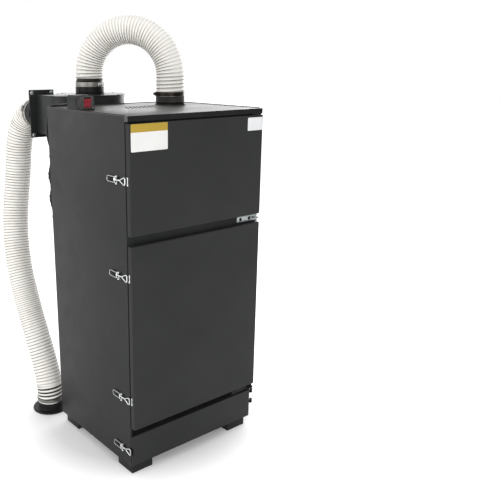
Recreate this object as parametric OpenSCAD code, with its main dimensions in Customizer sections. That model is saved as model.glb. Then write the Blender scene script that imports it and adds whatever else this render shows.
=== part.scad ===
// Dust extractor: a tall sheet-steel cabinet with two doors and a floor hatch,
// a scroll fan behind it, an arched hose from roof to fan and a long outlet hose.
// Sizes are in millimetres, +Z is up, and the doors face -Y.

/* [Cabinet] */
// Outside width of the cabinet
body_w = 565; // [450:5:700]
// Depth of the cabinet without its doors
body_d = 485; // [400:5:600]
// Height of the roof above the floor
body_h = 1237; // [1030:5:1500]
// Thickness of the sheet steel
sheet_t = 2; // [1.5:0.5:3]
// Width of the folded frame beside the front openings
frame_w = 26; // [20:1:40]
// Height of the feet
foot_h = 39; // [25:1:60]
// Side of each square foot
foot_w = 88; // [60:1:110]
// How far the feet stand in from the sides
foot_inset = 13; // [5:1:40]
// Height of the roof's front lip
lip_h = 17; // [12:1:25]
// How far the roof's front lip reaches over the doors
lip_reach = 18; // [12:1:22]

/* [Doors] */
// How far the door faces stand in front of the cabinet
door_proud = 23; // [20:1:30]
// Gap between a door pan and the cabinet front
seal_gap = 4; // [3:0.5:6]
// How far a door's edge stays inside the cabinet's side
door_inset = 1.5; // [1:0.5:4]
// Height of the lower door
lower_door_h = 644; // [520:1:780]
// Open strip between one door and the next
rail_gap = 32; // [26:1:45]
// Gap between the upper door and the roof's lip
lip_gap = 5; // [4:1:10]
// Height of the floor hatch
hatch_h = 112; // [90:1:140]
// Gap between the floor plate's underside and the hatch
hatch_drop = 7; // [4:1:12]
// How far the hatch face stands in front of the cabinet
hatch_proud = 8; // [7:0.5:12]
// Radius of the door hinge pins
pin_r = 4; // [3:0.5:5]
// Radial clearance of the hinge pins in their bores
pin_clear = 0.05; // [0.02:0.01:0.09]
// Distance of the door hinge axis from the cabinet's right side
hinge_in = 8; // [7:0.5:12]
// Distance of the door hinge axis in front of the cabinet
hinge_out = 13; // [12:0.5:15]

/* [Latches] */
// Distance of the upper latch of the lower door below that door's top
latch_drop = 105; // [60:1:200]
// Distance of the lower latch of the lower door above that door's bottom
latch_rise = 105; // [60:1:200]
// Height of the hatch latch above the hatch's bottom edge
hatch_latch_rise = 55; // [40:1:60]
// Distance of the lever pivot behind the cabinet's front
latch_pivot_u = 40; // [36:1:60]
// Radius of the latch pins
latch_pin_r = 2; // [1.5:0.25:2.5]
// Radius of the bail's wire
bail_wire_r = 1.6; // [1.2:0.1:2]

/* [Fan] */
// Distance of the fan axis from the cabinet's left side
fan_x = 262; // [240:1:330]
// Radius of the fan housing
fan_r = 134; // [125:1:150]
// Gap between the fan housing and the rear wall
fan_gap = 5; // [3:1:20]
// Height of the fan housing
fan_h = 144; // [110:1:180]
// How far the fan housing rises above the roof
fan_rise = 33; // [10:1:60]
// Width of the fan's outlet duct
duct_w = 52; // [40:1:70]
// Distance of the outlet duct from the cabinet's left side
duct_x = 65; // [50:1:70]
// Radius of the motor body
motor_r = 72; // [60:1:80]
// Length of the motor body below its flange
motor_h = 180; // [140:5:220]

/* [Hoses] */
// Outside radius of the hoses
hose_r = 52; // [48:0.5:54]
// Wall of the hoses
hose_t = 3; // [2:0.5:4]
// Height above the roof at which the arched hose starts to bend
arch_lift = 105; // [85:1:160]
// Distance of the roof collar from the cabinet's left side
roof_port_x = 450; // [380:1:480]
// Distance of the roof collar behind the cabinet's front
roof_port_y = 356; // [300:1:400]
// Height of the black part of each hose collar
collar_h = 27; // [20:1:40]

/* [Switch] */
// Width of the switch box
switch_w = 68; // [62:1:80]
// Depth of the switch box
switch_d = 66; // [60:1:90]
// Height of the switch box
switch_h = 48; // [46:1:60]
// Distance of the switch box behind the cabinet's front
switch_y = 275; // [200:1:360]

/* [Hidden] */

round_fn = 64;

// The frame's origin is the middle of the box round everything but the outlet hose, at floor level.
fan_y = body_d + fan_gap + fan_r;
reach_back = fan_y + fan_r;
left_x = -body_w / 2;
right_x = body_w / 2;
front_y = (door_proud - reach_back) / 2;
rear_y = front_y + body_d;

// Heights of the doors, from the floor up
hatch_z = foot_h + hatch_drop;
lower_door_z = hatch_z + hatch_h + rail_gap;
upper_door_z = lower_door_z + lower_door_h + rail_gap;
upper_door_h = body_h - lip_h - lip_gap - upper_door_z;
rail_lap = 12;
rail_t = 3;
hatch_inset = 1;
hatch_margin = 7;
hatch_back = 2;
boss_w = 18;
fit_gap = 0.2;

// Hinges
hinge_x = right_x - hinge_in;
hinge_y = front_y - hinge_out;
pin_grip = 11;
pin_slack = 1;
bracket_t = 3;
bracket_w = 91;
bracket_h = 21;
bracket_in = 3;
bracket_hole_r = 5;
bracket_holes = [32, 74];
tongue_w = 50;
top_tongue_w = 42;
barrel_z = [hatch_z + 49, hatch_z + 93];
barrel_r = 6;
barrel_h = 9;
barrel_out = 7;
barrel_pin_r = 2.5;
barrel_lift = 0.5;
leaf_t = 1.5;
leaf_d = 19;

// Blank label plates on the upper door: inset from the door's side, width, height and drop from its top
plate_t = 0.6;
large_label = [5.5, 139, 83, 2];
small_label = [3.5, 69, 44, 7];

// Latches: heights, and places measured outwards (n) and rearwards (u) from the front left edge
latch_z = [
    upper_door_z + upper_door_h / 2,
    lower_door_z + lower_door_h - latch_drop,
    lower_door_z + latch_rise,
    hatch_z + hatch_latch_rise
];
latch_pivot_n = 7;
base_t = 1.5;
base_front = 10;
base_back = 36;
ear_d = 6;
ear_half = 13.5;
ear_rise = 4;
ear_gap = 0.5;
lever_len = 51;
lever_half = 10;
lever_reach = 3.5;
lever_low_n = 3.5;
lever_high_n = 9.5;
lever_end = 4;
arm_t = 2;
bail_pin_n = 5.8;
bail_pin_back = 12;
bail_barrel_r = 3.8;
bail_barrel_h = 10;
bail_rod_r = 2;
bail_bar_u = -6;
bail_apex_u = 25;
bail_half = 14;
wire_end_over = 0.3;
catch_half = 13.5;
catch_front = 17;
catch_lip_t = 1.6;
catch_lip_n = 3.2;

// Fan, counted from the fan axis; the lobe is the scroll's wide side towards the duct
fan_top = body_h + fan_rise;
fan_z = fan_top - fan_h;
lobe_r = 100;
lobe_x = duct_x + lobe_r - fan_x;
lobe_y = lobe_r - fan_r;
duct_end = 72;
shell_t = 3;
flange_w = 103;
flange_h = 179;
flange_t = 3;
flange_bolt_in = 10.5;
bolt_r = 4;
bolt_slack = 0.2;
bolt_head_r = 6.5;
bolt_head_h = 4;
nut_h = 6;
adapter_len = 20;
bracket_x = 96;
bracket_foot_w = 30;
bracket_foot_t = 5;
bracket_arm_in = 20;
bracket_drop = 120;
web_t = 4;
web_in = 8;
motor_flange_h = 8;
motor_flange_over = 6;
cowl_h = 55;
cowl_t = 2;
cowl_gap = 1;
cowl_lap = 14;
cowl_vent = [24, 8];
cowl_vent_r = 34;
terminal_w = 80;
terminal_d = 46;
terminal_h = 60;
terminal_bite = 12;
terminal_drop = 130;
outlet_x = duct_x + duct_w / 2;
outlet_z = fan_top - fan_h / 2;
outlet_y = fan_y + duct_end;

// Hoses and collars
spigot_r = hose_r - hose_t - 0.5;
spigot_h = 18;
bore_r = spigot_r - hose_t;
rim_over = 5;
collar_over = 2.5;
rim_t = 3;
arch_z = body_h + arch_lift;
arch_step = [fan_x - roof_port_x, fan_y - roof_port_y];
arch_r = norm(arch_step) / 2;
arch_turn = atan2(arch_step[1], arch_step[0]);
clamp_w = 12;
clamp_t = 1.8;
clamp_lift = 4;
clamp_clear = 0.3;
clamp_house = [9, 18];
clamp_screw_r = 4;
clamp_screw_len = 28;
clamp_turn = [215, -75, 200, -80];
end_flange_r = 72;
end_flange_t = 8;
end_spigot_h = 38;
end_x = 14;
end_y = body_d + 127;

// The outlet hose's route from the adapter to the end flange, from the cabinet's front left edge
adapter_end = outlet_y + 2 * flange_t + adapter_len + collar_h;
hose_route = [
    [91, 749, 1198], [91, 768, 1198], [89, 786, 1193], [85, 803, 1183], [80, 819, 1168], [75, 834, 1147],
    [69, 846, 1121], [64, 856, 1087], [61, 863, 1045], [57, 867, 990], [50, 869, 925], [38, 867, 850],
    [27, 861, 780], [17, 849, 710], [10, 832, 640], [5, 806, 560], [5, 776, 480], [7, 744, 400],
    [10, 713, 330], [14, 683, 260], [17, 655, 195], [17, 632, 140], [15, 618, 98], [14, 612, 62], [14, 612, 38]
];
hose_sides = 12;

// The motor cable's route from the switch box to the motor's terminal box, from the same edge
cable_route = [
    [34, 341, 1262], [34, 356, 1262], [36, 385, 1256], [38, 415, 1249], [36, 447, 1245], [30, 472, 1244],
    [22, 490, 1241], [15, 500, 1228], [12, 504, 1205], [10, 508, 1175], [9, 510, 1143], [11, 506, 1115],
    [14, 500, 1093], [16, 497, 1072], [16, 497, 1050], [14, 500, 1035], [12, 504, 1019], [12, 504, 961],
    [12, 504, 935], [12, 504, 877], [14, 500, 862], [16, 497, 848], [16, 497, 826], [20, 502, 808],
    [34, 514, 796], [60, 532, 796], [96, 556, 816], [130, 582, 856], [150, 604, 904], [164, 618, 948],
    [170, 624, 972], [170, 624, 988]
];
cable_r = 4;
cable_sides = 8;
cable_drop = [16, 497];
connector_drop = [12, 504];
clip_z = [body_h - 181, body_h - 405];
clip_w = 14;
clip_h = 10;
clip_over = 7;
connector_z = [906, 990];
connector_r = 9;
connector_len = 58;

// Switch
switch_x = 0;
switch_wall = 2.5;
bezel_w = 34;
bezel_shift = 7;
bezel_h = 40;
bezel_t = 3;
bezel_rim = 2;
rocker_w = 27;
rocker_h = 32;
rocker_r = 19;
rocker_back = 2;
rocker_in = 3;
rocker_tilt = 9;
window_w = rocker_w + 1;
window_h = rocker_h + 3;

// Roof vent slots
slot_count = 8;
slot_w = 6;
slot_len = 85;
slot_pitch = 16.5;
slot_turn = 25;
slot_mid = [262, 285];

sheet_colour = [0.16, 0.165, 0.165];
dark_colour = [0.07, 0.07, 0.075];
zinc_colour = [0.72, 0.74, 0.74];
hose_colour = [0.9, 0.88, 0.82];

// Places children at a point counted from the cabinet's front left edge at floor level.
module from_corner(x, y, z) {
    translate([left_x + x, front_y + y, z]) children();
}

// A block from one corner to the opposite one, counted from the same edge.
module block(low, high) {
    from_corner(low[0], low[1], low[2]) cube(high - low);
}

// A vertical ring or, with no bore, a disc.
module ring(r, bore, h) {
    difference() {
        cylinder(r = r, h = h, $fn = round_fn);
        if (bore > 0) translate([0, 0, -1]) cylinder(r = bore, h = h + 2, $fn = round_fn);
    }
}

// ---- Cabinet ----

module side_wall(x) {
    color(sheet_colour) block([x, 0, foot_h], [x + sheet_t, body_d, body_h - sheet_t]);
}

module left_wall() side_wall(0);

module right_wall() side_wall(body_w - sheet_t);

module rear_wall() {
    color(sheet_colour)
        block([sheet_t, body_d - sheet_t, foot_h], [body_w - sheet_t, body_d, body_h - sheet_t]);
}

module vent_slot() {
    rotate([0, 0, -slot_turn]) {
        cube([slot_w, slot_len - slot_w, 3 * sheet_t], center = true);
        for (end = [-1, 1])
            translate([0, end * (slot_len - slot_w) / 2, 0])
                cylinder(d = slot_w, h = 3 * sheet_t, center = true, $fn = 16);
    }
}

// Roof plate with its front lip, a box folded out over the doors.
module roof() {
    color(sheet_colour) difference() {
        union() {
            block([0, -lip_reach, body_h - sheet_t], [body_w, body_d, body_h]);
            block([0, -lip_reach, body_h - lip_h], [body_w, -lip_reach + sheet_t, body_h]);
            block([0, -lip_reach, body_h - lip_h], [body_w, 0, body_h - lip_h + sheet_t]);
            for (x = [0, body_w - sheet_t])
                block([x, -lip_reach, body_h - lip_h], [x + sheet_t, 0, body_h]);
        }
        from_corner(roof_port_x, roof_port_y, body_h - 2 * sheet_t)
            cylinder(r = bore_r, h = 3 * sheet_t, $fn = round_fn);
        for (i = [0 : slot_count - 1]) {
            slot_x = slot_mid[0] + (i - (slot_count - 1) / 2) * slot_pitch;
            from_corner(slot_x, slot_mid[1], body_h - sheet_t / 2) vent_slot();
        }
    }
}

module floor_plate() {
    color(sheet_colour)
        block([sheet_t, 0, foot_h], [body_w - sheet_t, body_d - sheet_t, foot_h + sheet_t]);
}

module front_stiles() {
    color(dark_colour) for (x = [sheet_t, body_w - sheet_t - frame_w])
        block([x, 0, foot_h + sheet_t], [x + frame_w, rail_t, body_h - sheet_t]);
}

module front_rails() {
    x0 = sheet_t + frame_w;
    rails = [
        [foot_h + sheet_t, hatch_z + rail_lap],
        [hatch_z + hatch_h - rail_lap, lower_door_z + rail_lap],
        [lower_door_z + lower_door_h - rail_lap, upper_door_z + rail_lap],
        [upper_door_z + upper_door_h - rail_lap, body_h - sheet_t]
    ];
    color(dark_colour) for (span = rails)
        block([x0, 0, span[0]], [body_w - x0, rail_t, span[1]]);
}

module feet() {
    color(dark_colour)
        for (x = [foot_inset, body_w - foot_inset - foot_w])
            for (y = [foot_inset, body_d - foot_inset - foot_w])
                from_corner(x, y, 0) difference() {
                    cube([foot_w, foot_w, foot_h]);
                    translate([rail_t, rail_t, rail_t])
                        cube([foot_w - 2 * rail_t, foot_w - 2 * rail_t, foot_h]);
                }
}

// ---- Hose collars and clamps ----

// Base ring, black collar slightly wider than the hose, and a thinner spigot inside the hose.
module collar() {
    ring(hose_r + rim_over, bore_r, rim_t);
    ring(hose_r + collar_over, bore_r, collar_h);
    ring(spigot_r, bore_r, collar_h + spigot_h);
}

// Worm-drive clamp: a thin band with its screw housing on the side that the turn gives.
module clamp(turn) {
    inner = hose_r + clamp_clear;
    ring(inner + clamp_t, inner, clamp_w);
    rotate([0, 0, turn]) {
        translate([inner + clamp_t / 2, -clamp_house[1] / 2, 1])
            cube([clamp_house[0], clamp_house[1], clamp_w - 2]);
        translate([inner + clamp_screw_r + clamp_t, clamp_screw_len / 2, clamp_w / 2]) rotate([90, 0, 0])
            cylinder(r = clamp_screw_r, h = clamp_screw_len, $fn = 16);
    }
}

module roof_collar() {
    color(dark_colour) from_corner(roof_port_x, roof_port_y, body_h) collar();
}

module fan_inlet_collar() {
    color(dark_colour) from_corner(fan_x, fan_y, fan_top) collar();
}

// Half a ring of hose over two straight legs, drawn as a solid of one radius.
module arch_body(r, over) {
    for (side = [-1, 1]) {
        foot = (side > 0 ? fan_top : body_h) + collar_h - over;
        translate([side * arch_r, 0, foot]) cylinder(r = r, h = arch_z - foot, $fn = round_fn);
    }
    translate([0, 0, arch_z]) rotate([90, 0, 0])
        rotate_extrude(angle = 180, $fn = round_fn) translate([arch_r, 0]) circle(r = r, $fn = 48);
}

module arch_hose() {
    color(hose_colour)
        from_corner(roof_port_x + arch_step[0] / 2, roof_port_y + arch_step[1] / 2, 0)
            rotate([0, 0, arch_turn]) difference() {
                arch_body(hose_r, 0);
                arch_body(hose_r - hose_t, 1);
            }
}

module arch_clamps() {
    color(zinc_colour) {
        from_corner(roof_port_x, roof_port_y, body_h + collar_h + clamp_lift) clamp(clamp_turn[0]);
        from_corner(fan_x, fan_y, fan_top + collar_h + clamp_lift) clamp(clamp_turn[1]);
    }
}

// ---- Fan and motor ----

// Outline of the scroll, drawn inwards by inset; the duct runs off towards +Y.
module scroll_outline(inset, duct_over) {
    circle(r = fan_r - inset, $fn = round_fn);
    translate([lobe_x, lobe_y]) circle(r = lobe_r - inset, $fn = round_fn);
    translate([lobe_x, inset - fan_r]) square([-lobe_x, fan_r - inset]);
    translate([duct_x - fan_x + inset, lobe_y])
        square([duct_w - 2 * inset, duct_end - lobe_y + duct_over]);
}

module fan_housing() {
    color(sheet_colour) from_corner(fan_x, fan_y, fan_z) difference() {
        linear_extrude(fan_h) scroll_outline(0, 0);
        translate([0, 0, shell_t]) linear_extrude(fan_h - 2 * shell_t) scroll_outline(shell_t, 1);
        translate([0, 0, fan_h - 2 * shell_t]) cylinder(r = bore_r, h = 3 * shell_t, $fn = round_fn);
    }
}

// Rectangular flange plate in the X-Z plane round the duct's outlet, with its four bolt holes.
module flange_plate(y, window_w, window_h) {
    from_corner(outlet_x, y, outlet_z) difference() {
        translate([-flange_w / 2, 0, -flange_h / 2]) cube([flange_w, flange_t, flange_h]);
        translate([-window_w / 2, -1, -window_h / 2]) cube([window_w, flange_t + 2, window_h]);
        for (x = [-1, 1]) for (z = [-1, 1])
            translate([x * (flange_w / 2 - flange_bolt_in), -1, z * (flange_h / 2 - flange_bolt_in)])
                rotate([-90, 0, 0]) cylinder(r = bolt_r + bolt_slack, h = flange_t + 2, $fn = 24);
    }
}

module duct_flange() {
    color(dark_colour) flange_plate(outlet_y, duct_w - 2 * shell_t, fan_h - 2 * shell_t);
}

// Second flange plate, a short boss and the round collar that the outlet hose slides on.
module outlet_adapter() {
    color(dark_colour) {
        flange_plate(outlet_y + flange_t, duct_w - 2 * shell_t, 1.7 * bore_r);
        from_corner(outlet_x, outlet_y + 2 * flange_t, outlet_z) rotate([-90, 0, 0])
            ring(hose_r, bore_r, adapter_len + collar_h);
    }
}

module outlet_clamp() {
    color(zinc_colour)
        from_corner(outlet_x, adapter_end + clamp_lift, outlet_z)
            rotate([-90, 0, 0]) clamp(clamp_turn[2]);
}

module flange_bolts() {
    color(zinc_colour) for (x = [-1, 1]) for (z = [-1, 1])
        from_corner(outlet_x + x * (flange_w / 2 - flange_bolt_in), outlet_y,
                    outlet_z + z * (flange_h / 2 - flange_bolt_in)) rotate([-90, 0, 0]) {
            translate([0, 0, -bolt_head_h]) cylinder(r = bolt_head_r, h = bolt_head_h, $fn = 6);
            cylinder(r = bolt_r, h = 2 * flange_t, $fn = 24);
            translate([0, 0, 2 * flange_t]) cylinder(r = bolt_head_r, h = nut_h, $fn = 6);
        }
}

// Two angle brackets under the housing, bolted to the rear wall on both sides of the motor.
module fan_bracket() {
    arm = fan_r - bracket_arm_in;
    web_drop = bracket_drop - web_in;
    color(dark_colour) for (side = [-1, 1])
        from_corner(fan_x + side * bracket_x - bracket_foot_w / 2, body_d, fan_z - bracket_foot_t) {
            cube([bracket_foot_w, arm, bracket_foot_t]);
            translate([0, 0, -bracket_drop]) cube([bracket_foot_w, bracket_foot_t, bracket_drop]);
            translate([(bracket_foot_w - web_t) / 2, 0, 0]) rotate([0, 90, 0]) linear_extrude(web_t)
                polygon([[0, 0], [0, arm - web_in], [web_drop, bracket_foot_t], [web_drop, 0]]);
        }
}

module motor() {
    color(dark_colour) from_corner(fan_x, fan_y, fan_z - motor_flange_h - motor_h) {
        cylinder(r = motor_r, h = motor_h, $fn = round_fn);
        translate([0, 0, motor_h])
            cylinder(r = motor_r + motor_flange_over, h = motor_flange_h, $fn = round_fn);
    }
}

// Fan cowl over the motor's lower end, open only at its vents underneath.
module motor_cowl() {
    inner = motor_r + cowl_gap;
    color(dark_colour) from_corner(fan_x, fan_y, fan_z - motor_flange_h - motor_h - cowl_h) difference() {
        cylinder(r = inner + cowl_t, h = cowl_h + cowl_lap, $fn = round_fn);
        translate([0, 0, cowl_t]) cylinder(r = inner, h = cowl_h - cowl_t, $fn = round_fn);
        translate([0, 0, cowl_h - 1]) cylinder(r = motor_r, h = cowl_lap + 2, $fn = round_fn);
        for (turn = [0 : 45 : 315])
            rotate([0, 0, turn]) translate([cowl_vent_r, -cowl_vent[1] / 2, -1])
                cube([cowl_vent[0], cowl_vent[1], cowl_t + 2]);
    }
}

// Box on the motor's left side that the cable ends in.
module terminal_box() {
    left = fan_x - motor_r - terminal_d + terminal_bite;
    color(dark_colour)
        from_corner(left, fan_y - terminal_w / 2, fan_z - motor_flange_h - terminal_drop) difference() {
            cube([terminal_d, terminal_w, terminal_h]);
            translate([fan_x - left, terminal_w / 2, -1])
                cylinder(r = motor_r + fit_gap, h = terminal_h + 2, $fn = round_fn);
        }
}

// ---- Outlet hose and motor cable ----

function unit(v) = v / norm(v);
function tangent(p, i) = unit(p[min(i + 1, len(p) - 1)] - p[max(i - 1, 0)]);
function across(n, t) = unit(n - (n * t) * t);
function side_vectors(p, n, i = 0) =
    i == len(p) ? [] : let (m = across(n, tangent(p, i))) concat([m], side_vectors(p, m, i + 1));

// Round tube swept along a list of points, with flat ends.
module swept_tube(points, r, sides, side) {
    u = side_vectors(points, side);
    last = len(points) - 1;
    rings = [
        for (i = [0 : last]) let (v = cross(tangent(points, i), u[i]))
            for (k = [0 : sides - 1]) points[i] + r * (cos(360 * k / sides) * u[i] + sin(360 * k / sides) * v)
    ];
    skin = [
        for (i = [0 : last - 1]) for (k = [0 : sides - 1])
            let (a = i * sides + k, b = i * sides + (k + 1) % sides)
                each [[a, a + sides, b + sides], [a, b + sides, b]]
    ];
    ends = [[for (k = [0 : sides - 1]) k], [for (k = [sides - 1 : -1 : 0]) last * sides + k]];
    polyhedron(points = rings, faces = concat(skin, ends), convexity = 6);
}

module outlet_hose() {
    color(hose_colour) from_corner(0, 0, 0) swept_tube(hose_route, hose_r, hose_sides, [0, 0, 1]);
}

// Round flange that stands on the floor and carries the end of the outlet hose.
module hose_end_flange() {
    color(dark_colour) from_corner(end_x, end_y, 0) difference() {
        union() {
            cylinder(r = end_flange_r, h = end_flange_t, $fn = round_fn);
            cylinder(r = hose_r, h = end_spigot_h, $fn = round_fn);
        }
        translate([0, 0, -1]) cylinder(r = bore_r, h = end_spigot_h - hose_t + 1, $fn = round_fn);
    }
}

module hose_end_clamp() {
    color(zinc_colour) from_corner(end_x, end_y, end_spigot_h + clamp_lift) clamp(clamp_turn[3]);
}

// Cable with two in-line connectors on its way down behind the cabinet.
module motor_cable() {
    color(dark_colour) from_corner(0, 0, 0) {
        swept_tube(cable_route, cable_r, cable_sides, [1, 0, 0]);
        for (z = connector_z)
            translate([connector_drop[0], connector_drop[1], z - connector_len / 2])
                cylinder(r = connector_r, h = connector_len, $fn = 24);
    }
}

// Clips that hold the cable off the rear wall.
module cable_clips() {
    out = cable_drop[1] - body_d;
    color(dark_colour) for (z = clip_z)
        from_corner(cable_drop[0], body_d, z) difference() {
            translate([-clip_w / 2, 0, 0]) cube([clip_w, out + clip_over, clip_h]);
            translate([0, out, -1]) cylinder(r = cable_r + clamp_clear, h = clip_h + 2, $fn = 24);
        }
}

// ---- Switch ----

module switch_box() {
    color(dark_colour) from_corner(switch_x, switch_y, body_h) difference() {
        cube([switch_w, switch_d, switch_h]);
        translate([switch_wall, -1, switch_wall])
            cube([switch_w - 2 * switch_wall, switch_d - switch_wall + 1, switch_h - 2 * switch_wall]);
    }
}

// Front plate of the switch box with the window that the rocker tilts in.
module switch_bezel() {
    plate_w = switch_w - 2 * (switch_wall + fit_gap);
    plate_h = switch_h - 2 * (switch_wall + fit_gap);
    color(dark_colour)
        from_corner(switch_x + switch_w / 2, switch_y, body_h + switch_h / 2) difference() {
            union() {
                translate([-plate_w / 2, 0, -plate_h / 2]) cube([plate_w, bezel_t, plate_h]);
                translate([bezel_shift - bezel_w / 2, -bezel_rim, -bezel_h / 2])
                    cube([bezel_w, bezel_rim, bezel_h]);
            }
            translate([bezel_shift - window_w / 2, -bezel_rim - 1, -window_h / 2])
                cube([window_w, bezel_rim + bezel_t + 2, window_h]);
        }
}

// Rocker that pivots on an axis along X behind the window; drawn in its off position.
module power_rocker() {
    axis_x = switch_x + switch_w / 2 + bezel_shift;
    color("firebrick")
        from_corner(axis_x, switch_y + rocker_r - rocker_in, body_h + switch_h / 2)
            rotate([rocker_tilt, 0, 0]) rotate([0, 90, 0]) intersection() {
                cylinder(r = rocker_r, h = rocker_w, center = true, $fn = 48);
                translate([-rocker_h / 2, -rocker_r, -rocker_w / 2])
                    cube([rocker_h, rocker_r + rocker_back, rocker_w]);
            }
}

// ---- Doors and hinges ----

// Pan with a front sheet and folded edges; front and back are distances ahead of the cabinet.
module pan(x0, x1, z0, h, front, back) {
    difference() {
        block([x0, -front, z0], [x1, -back, z0 + h]);
        block([x0 + sheet_t, -front + sheet_t, z0 + sheet_t], [x1 - sheet_t, 1 - back, z0 + h - sheet_t]);
    }
}

// Door pan with a bored boss in each hinge corner.
module door(z0, h) {
    x1 = body_w - door_inset;
    boss_h = pin_grip + 3;
    difference() {
        union() {
            pan(door_inset, x1, z0, h, door_proud, seal_gap);
            for (z = [z0, z0 + h - boss_h])
                block([x1 - boss_w, -door_proud + 1, z], [x1, -seal_gap, z + boss_h]);
        }
        for (z = [z0 - 1, z0 + h - pin_grip - 1])
            translate([hinge_x, hinge_y, z]) cylinder(r = pin_r + pin_clear, h = pin_grip + 2, $fn = 32);
    }
}

module upper_door() {
    color(sheet_colour) door(upper_door_z, upper_door_h);
}

module lower_door() {
    color(sheet_colour) door(lower_door_z, lower_door_h);
}

// Angle bracket on a rail: a drilled upright, a tongue towards the front, and a pin for each door.
module hinge_bracket(z_low, pin_signs) {
    z_mid = z_low + rail_gap / 2;
    right = body_w - bracket_in;
    difference() {
        block([right - bracket_w, -bracket_t, z_mid - bracket_h / 2], [right, 0, z_mid + bracket_h / 2]);
        for (hole = bracket_holes)
            from_corner(right - hole, -bracket_t - 1, z_mid) rotate([-90, 0, 0])
                cylinder(r = bracket_hole_r, h = bracket_t + 2, $fn = 24);
    }
    block([right - tongue_w, -door_proud + 1, z_mid - bracket_t / 2],
          [right, -bracket_t, z_mid + bracket_t / 2]);
    for (sign = pin_signs)
        translate([hinge_x, hinge_y, z_mid]) mirror([0, 0, sign < 0 ? 1 : 0])
            cylinder(r = pin_r, h = rail_gap / 2 + pin_grip - pin_slack, $fn = 32);
}

module middle_hinge() {
    color(zinc_colour) hinge_bracket(lower_door_z + lower_door_h, [-1, 1]);
}

module lower_hinge() {
    color(dark_colour) hinge_bracket(hatch_z + hatch_h, [1]);
}

// Plate under the roof's lip with the upper door's top pin.
module top_hinge() {
    z = body_h - lip_h;
    right = body_w - bracket_in;
    color(dark_colour) {
        block([right - top_tongue_w, -lip_reach + 1, z - bracket_t], [right, -1, z]);
        translate([hinge_x, hinge_y, z - lip_gap - pin_grip + pin_slack])
            cylinder(r = pin_r, h = lip_gap + pin_grip - pin_slack, $fn = 32);
    }
}

// Fixed halves of the hatch's two barrel hinges: leaf, lower barrel and pin.
module hatch_hinge() {
    color(dark_colour) for (z = barrel_z)
        from_corner(body_w, 0, z) {
            cube([leaf_t, leaf_d, barrel_h]);
            translate([0, -hatch_back, 0]) cube([barrel_out, 2 * leaf_t, barrel_h]);
            translate([barrel_out, -hatch_back, 0]) cylinder(r = barrel_r, h = barrel_h, $fn = 32);
            translate([barrel_out, -hatch_back, barrel_h])
                cylinder(r = barrel_pin_r, h = barrel_h - 1, $fn = 24);
        }
}

// Hatch pan with the moving halves of its barrel hinges.
module hatch() {
    x1 = body_w - hatch_margin;
    low = barrel_h + barrel_lift;
    color(sheet_colour) difference() {
        union() {
            pan(hatch_inset, x1, hatch_z, hatch_h, hatch_proud, hatch_back);
            for (z = barrel_z) {
                from_corner(body_w + barrel_out, -hatch_back, z + low)
                    cylinder(r = barrel_r, h = barrel_h, $fn = 32);
                block([x1 - sheet_t, -hatch_proud + 1, z + low],
                      [body_w + barrel_out, -hatch_proud + 1 + 2 * leaf_t, z + low + barrel_h]);
            }
        }
        for (z = barrel_z)
            from_corner(body_w + barrel_out, -hatch_back, z + barrel_h - 1)
                cylinder(r = barrel_pin_r + pin_clear, h = barrel_h + barrel_lift + 2, $fn = 24);
    }
}

// Thin plate on the upper door's face, from its left edge and its inset, width, height and drop.
module face_plate(left, label) {
    top = upper_door_z + upper_door_h - label[3];
    block([left, -door_proud - plate_t, top - label[2]], [left + label[1], -door_proud, top]);
}

module large_plate() {
    color("white") face_plate(door_inset + large_label[0], large_label);
}

module small_plate() {
    color("white") face_plate(body_w - door_inset - small_label[0] - small_label[1], small_label);
}

// ---- Latches ----

// Local axes of a latch: x outwards from the left wall, y rearwards from the front, z up.
module at_latch(i) {
    translate([left_x, front_y, latch_z[i]]) mirror([1, 0, 0]) children();
}

module slab(low, high) {
    translate(low) cube(high - low);
}

// A pair of like solids above and below the latch's middle plane.
module both_sides() {
    children();
    mirror([0, 0, 1]) children();
}

module latch_base() {
    slab([0, latch_pivot_u - base_front, -ear_half], [base_t, latch_pivot_u + base_back, ear_half]);
    both_sides() {
        slab([0, latch_pivot_u - ear_d, lever_half + ear_gap],
             [latch_pivot_n + ear_rise, latch_pivot_u + ear_d, ear_half]);
        translate([latch_pivot_n, latch_pivot_u, lever_half - arm_t])
            cylinder(r = latch_pin_r, h = ear_half - lever_half + arm_t, $fn = 24);
    }
}

module latch_bases() {
    color(zinc_colour) for (i = [0 : 3]) at_latch(i) latch_base();
}

// Lever: two arms on the base's stub pins, a closed rear end and the pin that pulls the bail.
module lever() {
    difference() {
        union() {
            both_sides() slab([lever_low_n, latch_pivot_u - lever_reach, lever_half - arm_t],
                              [lever_high_n, latch_pivot_u + lever_len, lever_half]);
            slab([lever_low_n, latch_pivot_u + lever_len - lever_end, -lever_half],
                 [lever_high_n, latch_pivot_u + lever_len, lever_half]);
        }
        translate([latch_pivot_n, latch_pivot_u, -lever_half - 1])
            cylinder(r = latch_pin_r + pin_clear, h = 2 * lever_half + 2, $fn = 24);
    }
    translate([bail_pin_n, latch_pivot_u + bail_pin_back, -lever_half + arm_t / 2])
        cylinder(r = latch_pin_r, h = 2 * lever_half - arm_t, $fn = 24);
}

// Straight round wire between two points, with slightly larger round ends.
module wire(a, b) {
    step = b - a;
    translate(a) {
        sphere(r = bail_wire_r + wire_end_over, $fn = 24);
        rotate([0, acos(step[2] / norm(step)), atan2(step[1], step[0])])
            cylinder(r = bail_wire_r, h = norm(step), $fn = 24);
    }
}

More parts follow.
